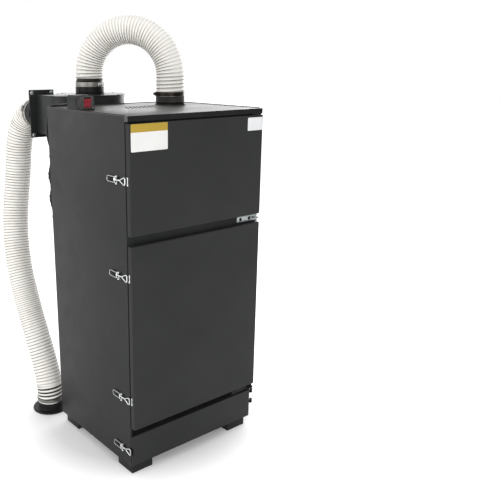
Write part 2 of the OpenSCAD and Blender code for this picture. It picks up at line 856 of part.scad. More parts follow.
// Bail: barrel on the lever's pin, threaded rod and closed triangle of wire.
module bail() {
    u = latch_pivot_u + bail_pin_back;
    apex = [bail_pin_n, bail_apex_u, 0];
    low = [bail_pin_n, bail_bar_u, -bail_half];
    high = [bail_pin_n, bail_bar_u, bail_half];
    difference() {
        union() {
            translate([bail_pin_n, u, 0])
                cylinder(r = bail_barrel_r, h = bail_barrel_h, center = true, $fn = 32);
            translate([bail_pin_n, u, 0]) rotate([90, 0, 0])
                cylinder(r = bail_rod_r, h = u - bail_apex_u, $fn = 24);
        }
        translate([bail_pin_n, u, 0])
            cylinder(r = latch_pin_r + pin_clear, h = bail_barrel_h + 2, center = true, $fn = 24);
    }
    wire(apex, low);
    wire(low, high);
    wire(high, apex);
}

// Catch plate on a door's left edge, with a low lip that the bail's bar lies over.
module catch(i, inset, front, back) {
    at_latch(i) {
        slab([-inset, -front, -catch_half], [0, -back, catch_half]);
        slab([-inset, -back - catch_lip_t, -catch_half], [catch_lip_n, -back, catch_half]);
    }
}

module upper_catch() {
    color(zinc_colour) catch(0, door_inset, catch_front, seal_gap + 1);
}

module lower_catches() {
    color(zinc_colour) for (i = [1, 2]) catch(i, door_inset, catch_front, seal_gap + 1);
}

module hatch_catch() {
    color(zinc_colour) catch(3, hatch_inset, hatch_proud - ear_gap, hatch_back + fit_gap);
}

module lever_1() color(zinc_colour) at_latch(0) lever();
module lever_2() color(zinc_colour) at_latch(1) lever();
module lever_3() color(zinc_colour) at_latch(2) lever();
module lever_4() color(zinc_colour) at_latch(3) lever();
module bail_1() color(zinc_colour) at_latch(0) bail();
module bail_2() color(zinc_colour) at_latch(1) bail();
module bail_3() color(zinc_colour) at_latch(2) bail();
module bail_4() color(zinc_colour) at_latch(3) bail();

left_wall();
right_wall();
rear_wall();
roof();
floor_plate();
front_stiles();
front_rails();
feet();
roof_collar();
arch_hose();
arch_clamps();
fan_housing();
fan_inlet_collar();
duct_flange();
outlet_adapter();
outlet_clamp();
flange_bolts();
fan_bracket();
motor();
motor_cowl();
terminal_box();
outlet_hose();
hose_end_flange();
hose_end_clamp();
switch_box();
switch_bezel();
power_rocker();
motor_cable();
cable_clips();
latch_bases();
middle_hinge();
lower_hinge();
top_hinge();
hatch_hinge();
upper_door();
upper_catch();
large_plate();
small_plate();
lower_door();
lower_catches();
hatch();
hatch_catch();
lever_1();
lever_2();
lever_3();
lever_4();
bail_1();
bail_2();
bail_3();
bail_4();
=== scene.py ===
import math
import bpy
import bmesh
import numpy as np
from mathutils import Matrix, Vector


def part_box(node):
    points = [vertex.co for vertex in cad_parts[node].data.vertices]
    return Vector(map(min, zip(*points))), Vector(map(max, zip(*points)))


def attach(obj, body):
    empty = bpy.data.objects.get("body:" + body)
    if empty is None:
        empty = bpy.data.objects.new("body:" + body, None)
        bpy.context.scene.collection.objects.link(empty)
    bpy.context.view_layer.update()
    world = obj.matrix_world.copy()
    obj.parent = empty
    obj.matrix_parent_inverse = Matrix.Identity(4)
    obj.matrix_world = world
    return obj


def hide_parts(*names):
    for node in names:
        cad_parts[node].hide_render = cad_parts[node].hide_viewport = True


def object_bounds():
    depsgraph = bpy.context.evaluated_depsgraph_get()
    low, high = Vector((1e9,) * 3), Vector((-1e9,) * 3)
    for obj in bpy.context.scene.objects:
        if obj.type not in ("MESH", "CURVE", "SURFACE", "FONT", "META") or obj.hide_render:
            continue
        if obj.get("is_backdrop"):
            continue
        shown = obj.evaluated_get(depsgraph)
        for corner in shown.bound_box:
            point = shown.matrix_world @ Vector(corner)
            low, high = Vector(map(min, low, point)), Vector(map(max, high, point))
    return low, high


# Looks of a workshop dust extractor. Lengths are in millimetres until a mesh is made.
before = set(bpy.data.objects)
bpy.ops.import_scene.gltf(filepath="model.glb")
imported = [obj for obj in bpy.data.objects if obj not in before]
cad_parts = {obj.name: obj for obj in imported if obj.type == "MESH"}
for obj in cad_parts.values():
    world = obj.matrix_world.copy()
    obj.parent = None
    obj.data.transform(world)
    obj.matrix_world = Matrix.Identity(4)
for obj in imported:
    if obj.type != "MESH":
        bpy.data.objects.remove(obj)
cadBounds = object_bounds()
mm = 0.001
tau = 2 * math.pi
print("frame loaded:", len(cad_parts), "nodes")


def nodeBox(name):
    # lowest and highest corner of a node
    low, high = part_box(name)
    return np.array(low) / mm, np.array(high) / mm


def middleOf(node):
    low, high = nodeBox(node)
    return (low + high) / 2


def over(node, height):
    # the middle of a node seen from above, at a height
    return middleOf(node) * (1, 1, 0) + (0, 0, height)


cornerX, cornerY = nodeBox("left_wall")[0][:2]
rightX = nodeBox("right_wall")[1][0]
rearY = nodeBox("rear_wall")[1][1]
roofZ = nodeBox("roof")[1][2]


def corner(x, y, z):
    # a point counted from the cabinet's front left edge at floor level
    return np.array([cornerX + x, cornerY + y, z], float)


# ---------- short ways to add nodes

class Nodes:
    def __init__(self, tree):
        self.tree = tree
        self.objectPlace = None

    def feed(self, socket, value):
        # a plain value is set, an output is linked
        if isinstance(value, (int, float, tuple)):
            socket.default_value = value
        else:
            self.tree.links.new(value, socket)

    def node(self, kind, inputs=(), **settings):
        made = self.tree.nodes.new("ShaderNode" + kind)
        for key, value in settings.items():
            setattr(made, key, value)
        for key, value in dict(inputs).items():
            self.feed(made.inputs[key], value)
        return made

    def place(self):
        # object coordinates, in metres
        if self.objectPlace is None:
            self.objectPlace = self.node("TexCoord").outputs["Object"]
        return self.objectPlace

    def measure(self, operation, second=(0, 0, 0)):
        # one number from the object coordinates, such as their length
        return self.node("VectorMath", {0: self.place(), 1: second}, operation=operation).outputs["Value"]

    def span(self, value, low, high, fromLow=0.3, fromHigh=0.7):
        # value carried from one range to another, clamped
        limits = {"From Min": fromLow, "From Max": fromHigh, "To Min": low, "To Max": high}
        return self.node("MapRange", {"Value": value, **limits}).outputs["Result"]

    def maths(self, operation, first, second):
        return self.node("Math", {0: first, 1: second}, operation=operation).outputs[0]

    def noise(self, cells, detail=3.0, stretch=None):
        # noise with this many cells a metre
        source = self.place()
        if stretch:
            source = self.node("Mapping", {"Vector": source, "Scale": stretch}).outputs["Vector"]
        return self.node("TexNoise", {"Vector": source, "Scale": cells, "Detail": detail}).outputs["Fac"]

    def mix(self, share, first, second):
        # two colours by a share; a single number is a grey
        colours = [(c, c, c) if isinstance(c, float) else c for c in (first, second)]
        colours = [(*c, 1) if isinstance(c, tuple) else c for c in colours]
        inputs = {"Factor": share, 6: colours[0], 7: colours[1]}
        return self.node("Mix", inputs, data_type="RGBA").outputs[2]


class Paint(Nodes):
    # a material whose shader inputs are set by name
    def __init__(self, name, **values):
        self.material = bpy.data.materials.new(name)
        self.material.use_nodes = True
        super().__init__(self.material.node_tree)
        self.set(**values)

    def set(self, **values):
        shader = self.tree.nodes["Principled BSDF"]
        for key, value in values.items():
            self.feed(shader.inputs[key.replace("_", " ")], value)

    def bump(self, height, depth, strength=1.0):
        # height from 0 to 1 stands depth millimetres high
        inputs = {"Height": height, "Distance": depth * mm, "Strength": strength}
        self.set(Normal=self.node("Bump", inputs).outputs["Normal"])

    def finish(self, colours, rough, clouds, sheen, height, depth):
        # clouds mix the two colours, and sheen moves the roughness
        self.set(Base_Color=self.mix(self.span(clouds, 0, 1), *colours), Roughness=self.span(sheen, *rough))
        self.bump(height, depth)
        return self.material


# ---------- camera, lamps and floor

view = {"place": (-1.3997, -2.0294, 1.3958), "turn": (73.99, 0.0, -38.21), "lens": 47.6, "shift": 0.151}


def makeCamera(s):
    data = bpy.data.cameras.new("camera")
    data.lens = s["lens"]
    data.sensor_width = 36
    data.shift_x = s["shift"]
    camera = bpy.data.objects.new("camera", data)
    camera.location = s["place"]
    camera.rotation_euler = [math.radians(a) for a in s["turn"]]
    bpy.context.scene.collection.objects.link(camera)
    bpy.context.scene.camera = camera


lamps = {
    "leftBox": {"place": (-3.2, 0.2, 0.95), "aim": (0, 0, 0.4), "size": (2.6, 2.0), "power": 24},
    "keyBox": {"place": (-2.0, -3.6, 1.5), "aim": (0, 0, 0.8), "size": (2.4, 2.4), "power": 40},
    "sideBox": {"place": (3.2, 1.3, 1.2), "aim": (-0.2, 0.4, 0.8), "size": (2.2, 2.2), "power": 36},
    "rearBox": {"place": (2.3, 3.0, 2.2), "aim": (0, 0.1, 1.1), "size": (3.2, 1.8), "power": 27},
    "topBox": {"place": (0.2, 0.0, 3.6), "aim": (0, 0, 1.0), "size": (2.6, 2.6), "power": 6},
}


def makeLamp(name, s):
    data = bpy.data.lights.new(name, "AREA")
    data.shape = "RECTANGLE"
    data.size, data.size_y = s["size"]
    data.energy = s["power"]
    lamp = bpy.data.objects.new(name, data)
    lamp.location = s["place"]
    away = lamp.location - type(lamp.location)(s["aim"])
    lamp.rotation_euler = away.to_track_quat("Z", "Y").to_euler()
    lamp.visible_camera = False
    bpy.context.scene.collection.objects.link(lamp)


surround = {
    "lit": 0.84, "seen": 1.0, "dim": 0.3, "backdrop": (-0.35, 0.94, 0), "turnFrom": -0.6, "turnTo": 0.5,
}
# the small near glow paints a deeper shadow on the floor round the cabinet
ground = {
    "colour": 0.86, "nearGlow": 0.1, "farGlow": 0.65, "glowFrom": 0.36, "glowTo": 0.62, "size": 40.0,
}


def makeWorld(s):
    # the world lights softly and looks white to the camera and through clear things; in reflections its
    # backdrop half is white and the half behind the camera is dim
    world = bpy.data.worlds.new("surround")
    world.use_nodes = True
    world.node_tree.nodes.clear()
    w = Nodes(world.node_tree)
    rays = w.node("LightPath").outputs
    facing = w.measure("DOT_PRODUCT", s["backdrop"])
    mirrored = w.span(facing, s["dim"], s["seen"], s["turnFrom"], s["turnTo"])
    strength = w.span(rays["Is Glossy Ray"], s["lit"], mirrored, 0, 1)
    seen = w.maths("MAXIMUM", rays["Is Camera Ray"], rays["Is Transmission Ray"])
    inputs = {"Color": (1, 1, 1, 1), "Strength": w.maths("MAXIMUM", strength, seen)}
    w.node("OutputWorld", {"Surface": w.node("Background", inputs).outputs[0]})
    bpy.context.scene.world = world


def makeFloor(s):
    # a pale sheet that keeps the shadow; for the camera alone a glow that grows with distance lifts it to
    # white, and where the glow stays small near the cabinet it paints a deeper shadow round it
    half = s["size"] / 2
    mesh = bpy.data.meshes.new("floor")
    corners = [(-half, -half, 0), (half, -half, 0), (half, half, 0), (-half, half, 0)]
    mesh.from_pydata(corners, [], [(0, 1, 2, 3)])
    floor = bpy.data.objects.new("floor", mesh)
    bpy.context.scene.collection.objects.link(floor)
    p = Paint("paleFloor", Roughness=0.9, Specular_IOR_Level=0.0, Emission_Color=(1, 1, 1, 1))
    glow = p.span(p.measure("LENGTH"), s["nearGlow"], s["farGlow"], s["glowFrom"], s["glowTo"])
    seen = p.maths("MULTIPLY", p.node("LightPath").outputs["Is Camera Ray"], glow)
    p.set(Base_Color=(*[s["colour"]] * 3, 1), Emission_Strength=seen)
    mesh.materials.append(p.material)
    floor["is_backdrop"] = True


makeCamera(view)
for name, s in lamps.items():
    makeLamp(name, s)
makeWorld(surround)
makeFloor(ground)
bpy.context.scene.view_settings.view_transform = "Standard"
print("camera, lamps and floor made")

# ---------- materials


def powderPaint(name, dark, light, rough=(0.36, 0.46), grain=0.035, gloss=0.16):
    # stoved powder: fine orange peel, faint clouds in the colour and a slightly uneven sheen
    p = Paint(name, Specular_IOR_Level=gloss)
    peel = p.maths("ADD", p.noise(620, 2), p.maths("MULTIPLY", p.noise(2600, 1), 0.35))
    return p.finish((dark, light), rough, p.noise(5, 4), p.noise(14), peel, grain)


def metalPaint(name, dark, light, rough, cells, depth=0.01, stretch=None):
    # bare or plated metal with clouded colour, uneven gloss and fine marks
    p = Paint(name, Metallic=1.0)
    clouds, sheen, marks = (p.noise(c, d, stretch) for c, d in ((cells, 4), (cells * 2.3, 3), (900, 2)))
    return p.finish((dark, light), rough, clouds, sheen, marks, depth)


def plasticPaint(name, dark, light, rough, depth=0.02, grain=700, gloss=0.45):
    # moulded plastic or rubber with a fine matt grain
    p = Paint(name, Specular_IOR_Level=gloss)
    return p.finish((dark, light), rough, p.noise(30), p.noise(90), p.noise(grain, 2), depth)


hoseLook = {
    "film": ((0.88, 0.858, 0.805), (0.94, 0.92, 0.875)), "wire": (0.035, 0.031, 0.026),
    "shade": (0.68, 0.65, 0.59), "shadeShare": 0.7, "behind": (0.020, 0.018, 0.015),
    "wireHalf": 0.095, "wireEdge": 0.07, "shadeHalf": 0.25, "ridgeHalf": 0.20, "ridgeEdge": 0.1,
    "slack": (0.26, 1.0), "slackSpan": (-0.24, 0.14), "blotchFrom": 0.7,
}


def hosePaint(s):
    # translucent film over a steel helix: the wrap's second number counts turns, with the wire at each whole
    # turn; its first is 0 on open hose, 1 where painted shade darkens the film between the wires, as on the
    # compressed turns at the outlet hose's lower end, and 2 where all is dark, as over the black spigots in
    # the arch's ends. A painted shade also lies beside each wire. The wires and this painted shade show more
    # where the film is slack, on the inside of a bend.
    p = Paint("hoseFilm", Roughness=0.42, Specular_IOR_Level=0.3)
    uv = p.node("UVMap", uv_map="wrap").outputs["UV"]
    endDarkLevel, turns, _ = p.node("SeparateXYZ", {0: uv}).outputs
    slack = p.span(p.node("Attribute", attribute_name="slack").outputs["Fac"], *s["slack"], *s["slackSpan"])
    away = p.maths("PINGPONG", turns, 0.5)
    wire = p.span(away, 1, 0, s["wireHalf"], s["wireHalf"] + s["wireEdge"])
    near = p.span(away, 1, 0, s["wireHalf"], s["shadeHalf"])
    between = p.span(away, 0, 1, s["ridgeHalf"], s["ridgeHalf"] + s["ridgeEdge"])
    blotch = p.maths("MULTIPLY", p.span(p.noise(45), s["blotchFrom"], 1.0), slack)
    film = p.mix(p.span(p.noise(18, 4), 0, 1), *s["film"])
    # painted shade beside each wire, stronger where the film is slack
    shaded = p.maths("MULTIPLY", p.maths("MULTIPLY", near, blotch), s["shadeShare"])
    film = p.mix(shaded, film, s["shade"])
    endClear = p.maths("SUBTRACT", 1, p.maths("MINIMUM", endDarkLevel, 1))
    lined = p.mix(p.maths("MULTIPLY", wire, p.maths("MULTIPLY", blotch, endClear)), film, s["wire"])
    closed = p.maths("MAXIMUM", p.maths("SUBTRACT", endDarkLevel, 1), 0)
    dark = p.maths("MINIMUM", p.maths("MULTIPLY", endDarkLevel, p.maths("ADD", between, closed)), 1)
    # the behind colour is painted shade between compressed turns, and the black spigot seen through the film
    # at the arch's ends
    p.set(Base_Color=p.mix(dark, lined, s["behind"]))
    p.bump(p.noise(160), 0.25, 0.6)
    return p.material


def labelPaint(name, s):
    # a plain printed plate: a pale face, with a coloured band above a height
    p = Paint(name, Roughness=0.32)
    base = p.mix(p.span(p.noise(12), 0, 1), *s["face"])
    if "band" in s:
        height = p.node("SeparateXYZ", {0: p.place()}).outputs["Z"]
        base = p.mix(p.maths("GREATER_THAN", height, s["bandFrom"] * mm), base, s["band"])
    p.set(Base_Color=base)
    p.bump(p.noise(300, 2), 0.02)
    return p.material


coat = ((0.026, 0.027, 0.0265), (0.031, 0.032, 0.0315))
bandStretch = (1, 1, 8)
looks = {
    "powder": powderPaint("powderCoat", *coat),
    "powderTop": powderPaint("powderCoatTop", *coat, (0.38, 0.46), gloss=1.0),
    "powderFan": powderPaint("powderCoatFan", (0.014, 0.015, 0.015), (0.019, 0.020, 0.020), (0.3, 0.4),
                             gloss=0.3),
    "powderDark": powderPaint("powderCoatDark", (0.018, 0.019, 0.019), (0.024, 0.025, 0.025), (0.4, 0.52)),
    # the same powder coat made darker for the roof's front faces: painted shade
    "roofFrontShade": powderPaint("powderCoatLipShade", (0.015, 0.0155, 0.0155), (0.020, 0.0205, 0.0205), (0.4, 0.5),
                            gloss=0.05),
    "motor": powderPaint("motorPaint", (0.017, 0.018, 0.019), (0.026, 0.027, 0.028), (0.35, 0.5), 0.06),
    "collar": plasticPaint("collarBlack", 0.007, 0.012, (0.36, 0.48), gloss=0.22),
    "barrel": plasticPaint("barrelBlack", 0.007, 0.012, (0.45, 0.55), gloss=0.15),
    # black for the upright walls of the roof's slots: painted shade in the slots
    "slotShade": plasticPaint("paintedSlotShade", 0.006, 0.009, (0.9, 0.96), gloss=0.0),
    "ribbed": plasticPaint("ribbedSleeve", (0.030, 0.028, 0.027), (0.065, 0.061, 0.058), (0.4, 0.5), 0.04,
                           300, 0.35),
    "switch": plasticPaint("switchPlastic", (0.006, 0.007, 0.007), (0.024, 0.025, 0.025), (0.45, 0.6), 0.4,
                           240, 0.25),
    # the bezel's lighter grey is partly its own colour and partly painted highlight round the rocker
    "bezel": plasticPaint("bezelGreyHighlight", (0.07, 0.066, 0.064), (0.10, 0.095, 0.092), (0.25, 0.35)),
    "rocker": plasticPaint("rockerRed", (0.27, 0.024, 0.034), (0.38, 0.04, 0.05), (0.22, 0.32)),
    "rubber": plasticPaint("cableRubber", 0.008, 0.015, (0.45, 0.6), 0.05, 500),
    "foam": plasticPaint("sealFoam", 0.004, (0.008, 0.008, 0.007), (0.85, 0.97), 0.3, 420, 0.04),
    "bandDark": metalPaint("bandSteelDark", (0.018, 0.015, 0.012), (0.06, 0.05, 0.04), (0.3, 0.45), 140,
                           stretch=bandStretch),
    "bandPlain": metalPaint("bandSteelPlain", (0.26, 0.255, 0.24), (0.42, 0.415, 0.395), (0.4, 0.55), 140,
                            stretch=bandStretch),
    "steel": metalPaint("bandSteel", (0.15, 0.15, 0.145), (0.36, 0.355, 0.34), (0.24, 0.4), 140,
                        stretch=bandStretch),
    "chrome": metalPaint("latchChrome", (0.80, 0.81, 0.82), (0.93, 0.94, 0.95), (0.16, 0.28), 90, 0.006),
    # zinc drawn nearly black: painted shade on the catches' lips, which lie under the bails
    "shadedZinc": metalPaint("shadedZinc", 0.006, 0.022, (0.4, 0.55), 90),
    "zinc": metalPaint("zincPlate", (0.60, 0.64, 0.645), (0.76, 0.80, 0.80), (0.34, 0.48), 70, 0.02),
    "blackScrew": metalPaint("blackScrew", (0.02, 0.02, 0.022), (0.045, 0.045, 0.047), (0.3, 0.42), 300),
    "hose": hosePaint(hoseLook),
}
print("materials made:", len(looks))

# ---------- shapes


def unit(v):
    return v / np.linalg.norm(v, axis=-1, keepdims=True)


def short(node):
    # a node's name as the start of a piece's name
    return node.replace("_", "")


def gridQuads(rows, columns, closeRows=False):
    # faces between neighbours of a grid whose point (i, j) is number i * columns + j; its columns close
    i = np.arange(rows if closeRows else rows - 1)[:, None]
    j = np.arange(columns)[None, :]
    nextI, nextJ = (i + 1) % rows, (j + 1) % columns
    quads = [i * columns + j, i * columns + nextJ, nextI * columns + nextJ, nextI * columns + j]
    return np.stack(np.broadcast_arrays(*quads), -1).reshape(-1, 4)


def signedVolume(points, faces):
    # six times the volume inside the faces, positive when they point outwards
    total = 0.0
    for group in faces:
        p = points[group]
        for k in range(1, group.shape[1] - 1):
            total += np.einsum("ij,ij->", p[:, 0], np.cross(p[:, k], p[:, k + 1]))
    return total


def shell(rings, closeRows=False):
    # rings (k, m, 3) joined to each other; the first and last get a flat face unless the rows close
    rows, columns = rings.shape[:2]
    points = rings.reshape(-1, 3)
    faces = [gridQuads(rows, columns, closeRows)]
    if not closeRows:
        faces.append(np.arange(columns)[::-1][None])
        faces.append((np.arange(columns) + (rows - 1) * columns)[None])
    if signedVolume(points, faces) < 0:
        faces = [f[:, ::-1] for f in faces]
    return points, faces


def filleted(points, radius, steps=5, closed=True):
    # each corner of an outline becomes an arc that touches both its sides; an open line keeps its ends.
    # The arc starts the radius over the tangent of half the corner's angle from the corner, and its
    # centre lies the radius over the sine of that half angle away, between the sides.
    p = np.asarray(points, float)
    before, here, after = (np.roll(p, 1, 0), p, np.roll(p, -1, 0)) if closed else (p[:-2], p[1:-1], p[2:])
    r = np.broadcast_to(np.asarray(radius, float), len(here))[:, None]
    a, b = unit(before - here), unit(after - here)
    half = np.arccos(np.clip((a * b).sum(1, keepdims=True), -1, 1)) / 2
    cut = r / np.tan(half)
    middle = here + unit(a + b) * r / np.sin(half)
    start, end = (here + a * cut - middle), (here + b * cut - middle)
    turn = math.pi - 2 * half[:, None]
    t = np.linspace(0, 1, steps)[None, :, None]
    arc = (np.sin((1 - t) * turn) * start[:, None] + np.sin(t * turn) * end[:, None]) / np.sin(turn)
    arcs = (middle[:, None] + arc).reshape(-1, p.shape[1])
    return arcs if closed else np.vstack([p[:1], arcs, p[-1:]])


def roundRect(w, h, radius, steps=5):
    # a rectangle about the origin with round corners
    return filleted([(-w / 2, -h / 2), (w / 2, -h / 2), (w / 2, h / 2), (-w / 2, h / 2)], radius, steps)


def circle(radius, count=48):
    a = np.arange(count) * tau / count
    return np.stack([np.cos(a), np.sin(a)], 1) * radius


def inset(line, amount):
    # a closed outline moved inwards: along the mean of its two side normals, by amount over the cosine
    # of half the turn
    ahead, behind = unit(np.roll(line, -1, 0) - line), unit(line - np.roll(line, 1, 0))
    normals = [np.stack([-d[:, 1], d[:, 0]], 1) for d in (ahead, behind)]
    mean = unit(normals[0] + normals[1])
    return line + mean * amount / np.clip((mean * normals[0]).sum(1, keepdims=True), 0.3, 1)


def prism(line, low, high, edge=0.5, steps=3):
    # an outline in the first two axes carried along the third, its ends pulled in along a quarter circle
    a = np.linspace(0, math.pi / 2, steps)
    pulls = np.concatenate([edge * (1 - np.sin(a)), edge * (1 - np.sin(a))[::-1]])
    heights = np.concatenate([low + edge * (1 - np.cos(a)), high - edge * (1 - np.cos(a))[::-1]])
    return shell(stacked([(inset(line, p), h) for p, h in zip(pulls, heights)]))


def rod(radius, low, high, edge=0.3, count=32):
    return prism(circle(radius, count), low, high, edge)


def hexagon(radius, low, high, edge=0.5, corner=0.4, steps=3):
    return prism(filleted(circle(radius, 6), corner, steps), low, high, edge)


def block(low, high, edge=0.6, radius=None, along=2):
    # a rounded block between two corners; its outline lies across the axis given by along
    low, high = np.asarray(low, float), np.asarray(high, float)
    u, v = [(1, 2), (2, 0), (0, 1)][along]
    size, middle = high - low, (high + low) / 2
    points, faces = prism(roundRect(size[u], size[v], radius or edge, 4), low[along], high[along], edge)
    moved = np.empty_like(points)
    moved[:, u], moved[:, v] = points[:, 0] + middle[u], points[:, 1] + middle[v]
    moved[:, along] = points[:, 2]
    return moved, faces


def revolved(profile, count):
    # rings of a profile of (radius, height) turned about the third axis
    a = np.arange(count) * tau / count
    profile = np.asarray(profile, float)
    height = np.broadcast_to(profile[:, 1:], (len(profile), count))
    return np.stack([profile[:, :1] * np.cos(a), profile[:, :1] * np.sin(a), height], -1)


def lathe(profile, count=64):
    # a closed profile turned
    return shell(revolved(profile, count), closeRows=True)


def spun(profile, count=48):
    # an open profile turned, with flat ends
    return shell(revolved(profile, count))


def dome(radius, height, rise, count=24, steps=5):
    # a button: a short cylinder under a shallow cap with a small flat top
    a = np.linspace(0, math.pi / 2 * 0.96, steps)[1:]
    return spun([(radius, 0), (radius, height), *zip(radius * np.cos(a), height + rise * np.sin(a))], count)


def socketScrew(radius, height, socket):
    # a button head with a round socket sunk into its top, its sizes as shares of the radius and height
    return spun([(radius, 0), (radius, height * 0.35), (radius * 0.86, height * 0.8), (socket + 0.7, height),
                 (socket, height - 0.2), (socket * 0.92, height * 0.3)], 36)


def hexBolt(radius, height, washer):
    # a chamfered six-sided head on a round washer, standing on the plane at height 0
    return [rod(washer, 0, 1.2, count=36), hexagon(radius, 1.0, height, 0.9, 0.3, 2)]


def threaded(length, radius, pitch, around=16):
    # a rod along the third axis whose radius falls and rises by a cosine that winds once a pitch
    z = np.linspace(0, length, int(length / pitch * 6) + 2)
    a = np.arange(around) * tau / around
    turns = z[:, None] / pitch - a[None] / tau
    depth = 0.32 * pitch
    r = radius - depth / 2 * (1 - np.cos(tau * turns))
    return shell(np.stack([r * np.cos(a), r * np.sin(a), np.broadcast_to(z[:, None], r.shape)], -1))


def stacked(rows):
    # one ring for each outline and height
    return np.array([np.column_stack([line, np.full(len(line), height)]) for line, height in rows])


def frameRing(outer, inner, low, high, edge=0.3):
    # a plate between two outlines of as many points, from low to high on the third axis, edges rounded
    rim, hole = inset(outer, edge), inset(inner, -edge)
    rows = [(rim, low), (outer, low + edge), (outer, high - edge), (rim, high),
            (hole, high), (inner, high - edge), (inner, low + edge), (hole, low)]
    return shell(stacked(rows), closeRows=True)


def upright(rows, middle):
    # outlines seen from the front, each at its own Y, joined about a middle
    return shell(stacked(rows)[:, :, [0, 2, 1]] + middle * (1, 0, 1))


def placed(part, origin, axes=((1, 0, 0), (0, 1, 0), (0, 0, 1))):
    # a part with its three axes laid along the given ones, faces kept outwards
    points, faces = part
    axes = np.asarray(axes, float)
    if np.linalg.det(axes) < 0:
        faces = [f[:, ::-1] for f in faces]
    return points @ axes + np.asarray(origin, float), faces


# axes of a part that is drawn as seen from the front and grows to the rear
rearward = [(1, 0, 0), (0, 0, 1), (0, 1, 0)]


def turned(direction, spin=0.0):
    # three axes whose third is the direction, spun about it by degrees
    w = unit(np.asarray(direction, float))
    u = unit(np.cross((0, 0, 1.0), w)) if abs(w[2]) < 0.9 else unit((1.0, 0, 0) - w * w[0])
    v = np.cross(w, u)
    c, s = math.cos(math.radians(spin)), math.sin(math.radians(spin))
    return np.array([c * u + s * v, c * v - s * u, w])


def studs(part, places, direction, spin=0.0):
    # copies of a part that stand along a direction
    return [placed(part, place, turned(direction, spin)) for place in places]


def ringOf(part, count, radius, height, phase=0.0):
    # copies of a part round a circle about the third axis
    turns = [turned((0, 0, 1), math.degrees(k * tau / count + phase)) for k in range(count)]
    return [placed(part, turn[0] * radius + (0, 0, height), turn) for turn in turns]


def smoothLine(points, spacing):
    # a cubic through the points whose tangents are half the step between neighbours, resampled to even
    # spacing
    p = np.asarray(points, float)
    m = np.gradient(p, axis=0)
    t = np.linspace(0, 1, 24, endpoint=False)[None, :, None]
    a, b, ma, mb = (x[:, None] for x in (p[:-1], p[1:], m[:-1], m[1:]))
    fine = (2 * t**3 - 3 * t**2 + 1) * a + (t**3 - 2 * t**2 + t) * ma
    fine = fine + (3 * t**2 - 2 * t**3) * b + (t**3 - t**2) * mb
    fine = np.vstack([fine.reshape(-1, 3), p[-1:]])
    length = np.concatenate([[0], np.cumsum(np.linalg.norm(np.diff(fine, axis=0), axis=1))])
    even = np.linspace(0, length[-1], max(2, int(round(length[-1] / spacing)) + 1))
    return np.column_stack([np.interp(even, length, fine[:, k]) for k in range(3)]), even


def lineAxes(line, reference, closed=False):
    # two unit vectors across each point of a line, the first of them square to the reference
    ahead = unit(np.roll(line, -1, 0) - np.roll(line, 1, 0) if closed else np.gradient(line, axis=0))
    reference = np.asarray(reference, float)
    side = unit(reference - (ahead @ reference)[:, None] * ahead)
    return side, np.cross(ahead, side)


def sweep(line, profile, reference, closed=False):
    # a flat profile carried along a line, square to it
    side, up = lineAxes(line, reference, closed)
    rings = line[:, None] + profile[None, :, :1] * side[:, None] + profile[None, :, 1:] * up[:, None]
    return shell(rings, closeRows=closed)


def joined(parts):
    # several parts as one list of points and faces by size
    points, faces, start = [], [], 0
    for p, f in parts:
        points.append(p)
        faces += [g + start for g in f]
        start += len(p)
    return np.vstack(points), faces


def solid(name, parts, look, node=None, body="cabinet", uv=None, angle=38):
    # makes the piece: mesh from arrays, smooth but for edges over the angle, riding on its body
    points, faces = joined(parts)
    mesh = bpy.data.meshes.new(name)
    sizes = np.concatenate([np.full(len(f), f.shape[1]) for f in faces])
    corners = np.concatenate([f.ravel() for f in faces])
    starts = np.concatenate([[0], np.cumsum(sizes)[:-1]])
    mesh.vertices.add(len(points))
    mesh.vertices.foreach_set("co", (points * mm).astype(np.float32).ravel())
    mesh.loops.add(len(corners))
    mesh.loops.foreach_set("vertex_index", corners.astype(np.int32))
    mesh.polygons.add(len(sizes))
    mesh.polygons.foreach_set("loop_start", starts.astype(np.int32))
    if uv is not None:
        layer = mesh.uv_layers.new(name="wrap")
        layer.data.foreach_set("uv", uv.astype(np.float32).ravel())
    mesh.update(calc_edges=True)
    mesh.validate()
    mesh.shade_smooth()
    mesh.set_sharp_from_angle(angle=math.radians(angle))
    return shown(bpy.data.objects.new(name, mesh), look, node, body)


def shown(piece, look, node=None, body="cabinet"):
    bpy.context.scene.collection.objects.link(piece)
    piece.data.materials.clear()
    piece.data.materials.append(looks[look])
    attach(piece, body)
    if node:
        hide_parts(node)
    return piece


def softened(node, look, edge, slot):
    # a node's own shape with its doubles merged and its edges rounded
    bm = bmesh.new()
    bm.from_mesh(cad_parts[node].data)
    bmesh.ops.remove_doubles(bm, verts=bm.verts, dist=1e-5)
    bmesh.ops.dissolve_limit(bm, angle_limit=math.radians(0.5), verts=bm.verts, edges=bm.edges)
    bmesh.ops.recalc_face_normals(bm, faces=bm.faces)
    mesh = bpy.data.meshes.new(node + "Soft")
    bm.to_mesh(mesh)
    bm.free()
    mesh.shade_smooth()
    piece = shown(bpy.data.objects.new(mesh.name, mesh), look, node)
    bevel = piece.modifiers.new("edge", "BEVEL")
    bevel.width = edge * mm
    bevel.segments = 2
    bevel.limit_method = "ANGLE"
    bevel.angle_limit = math.radians(38)
    bevel.use_clamp_overlap = True
    bevel.harden_normals = True
    return piece


# ---------- hoses

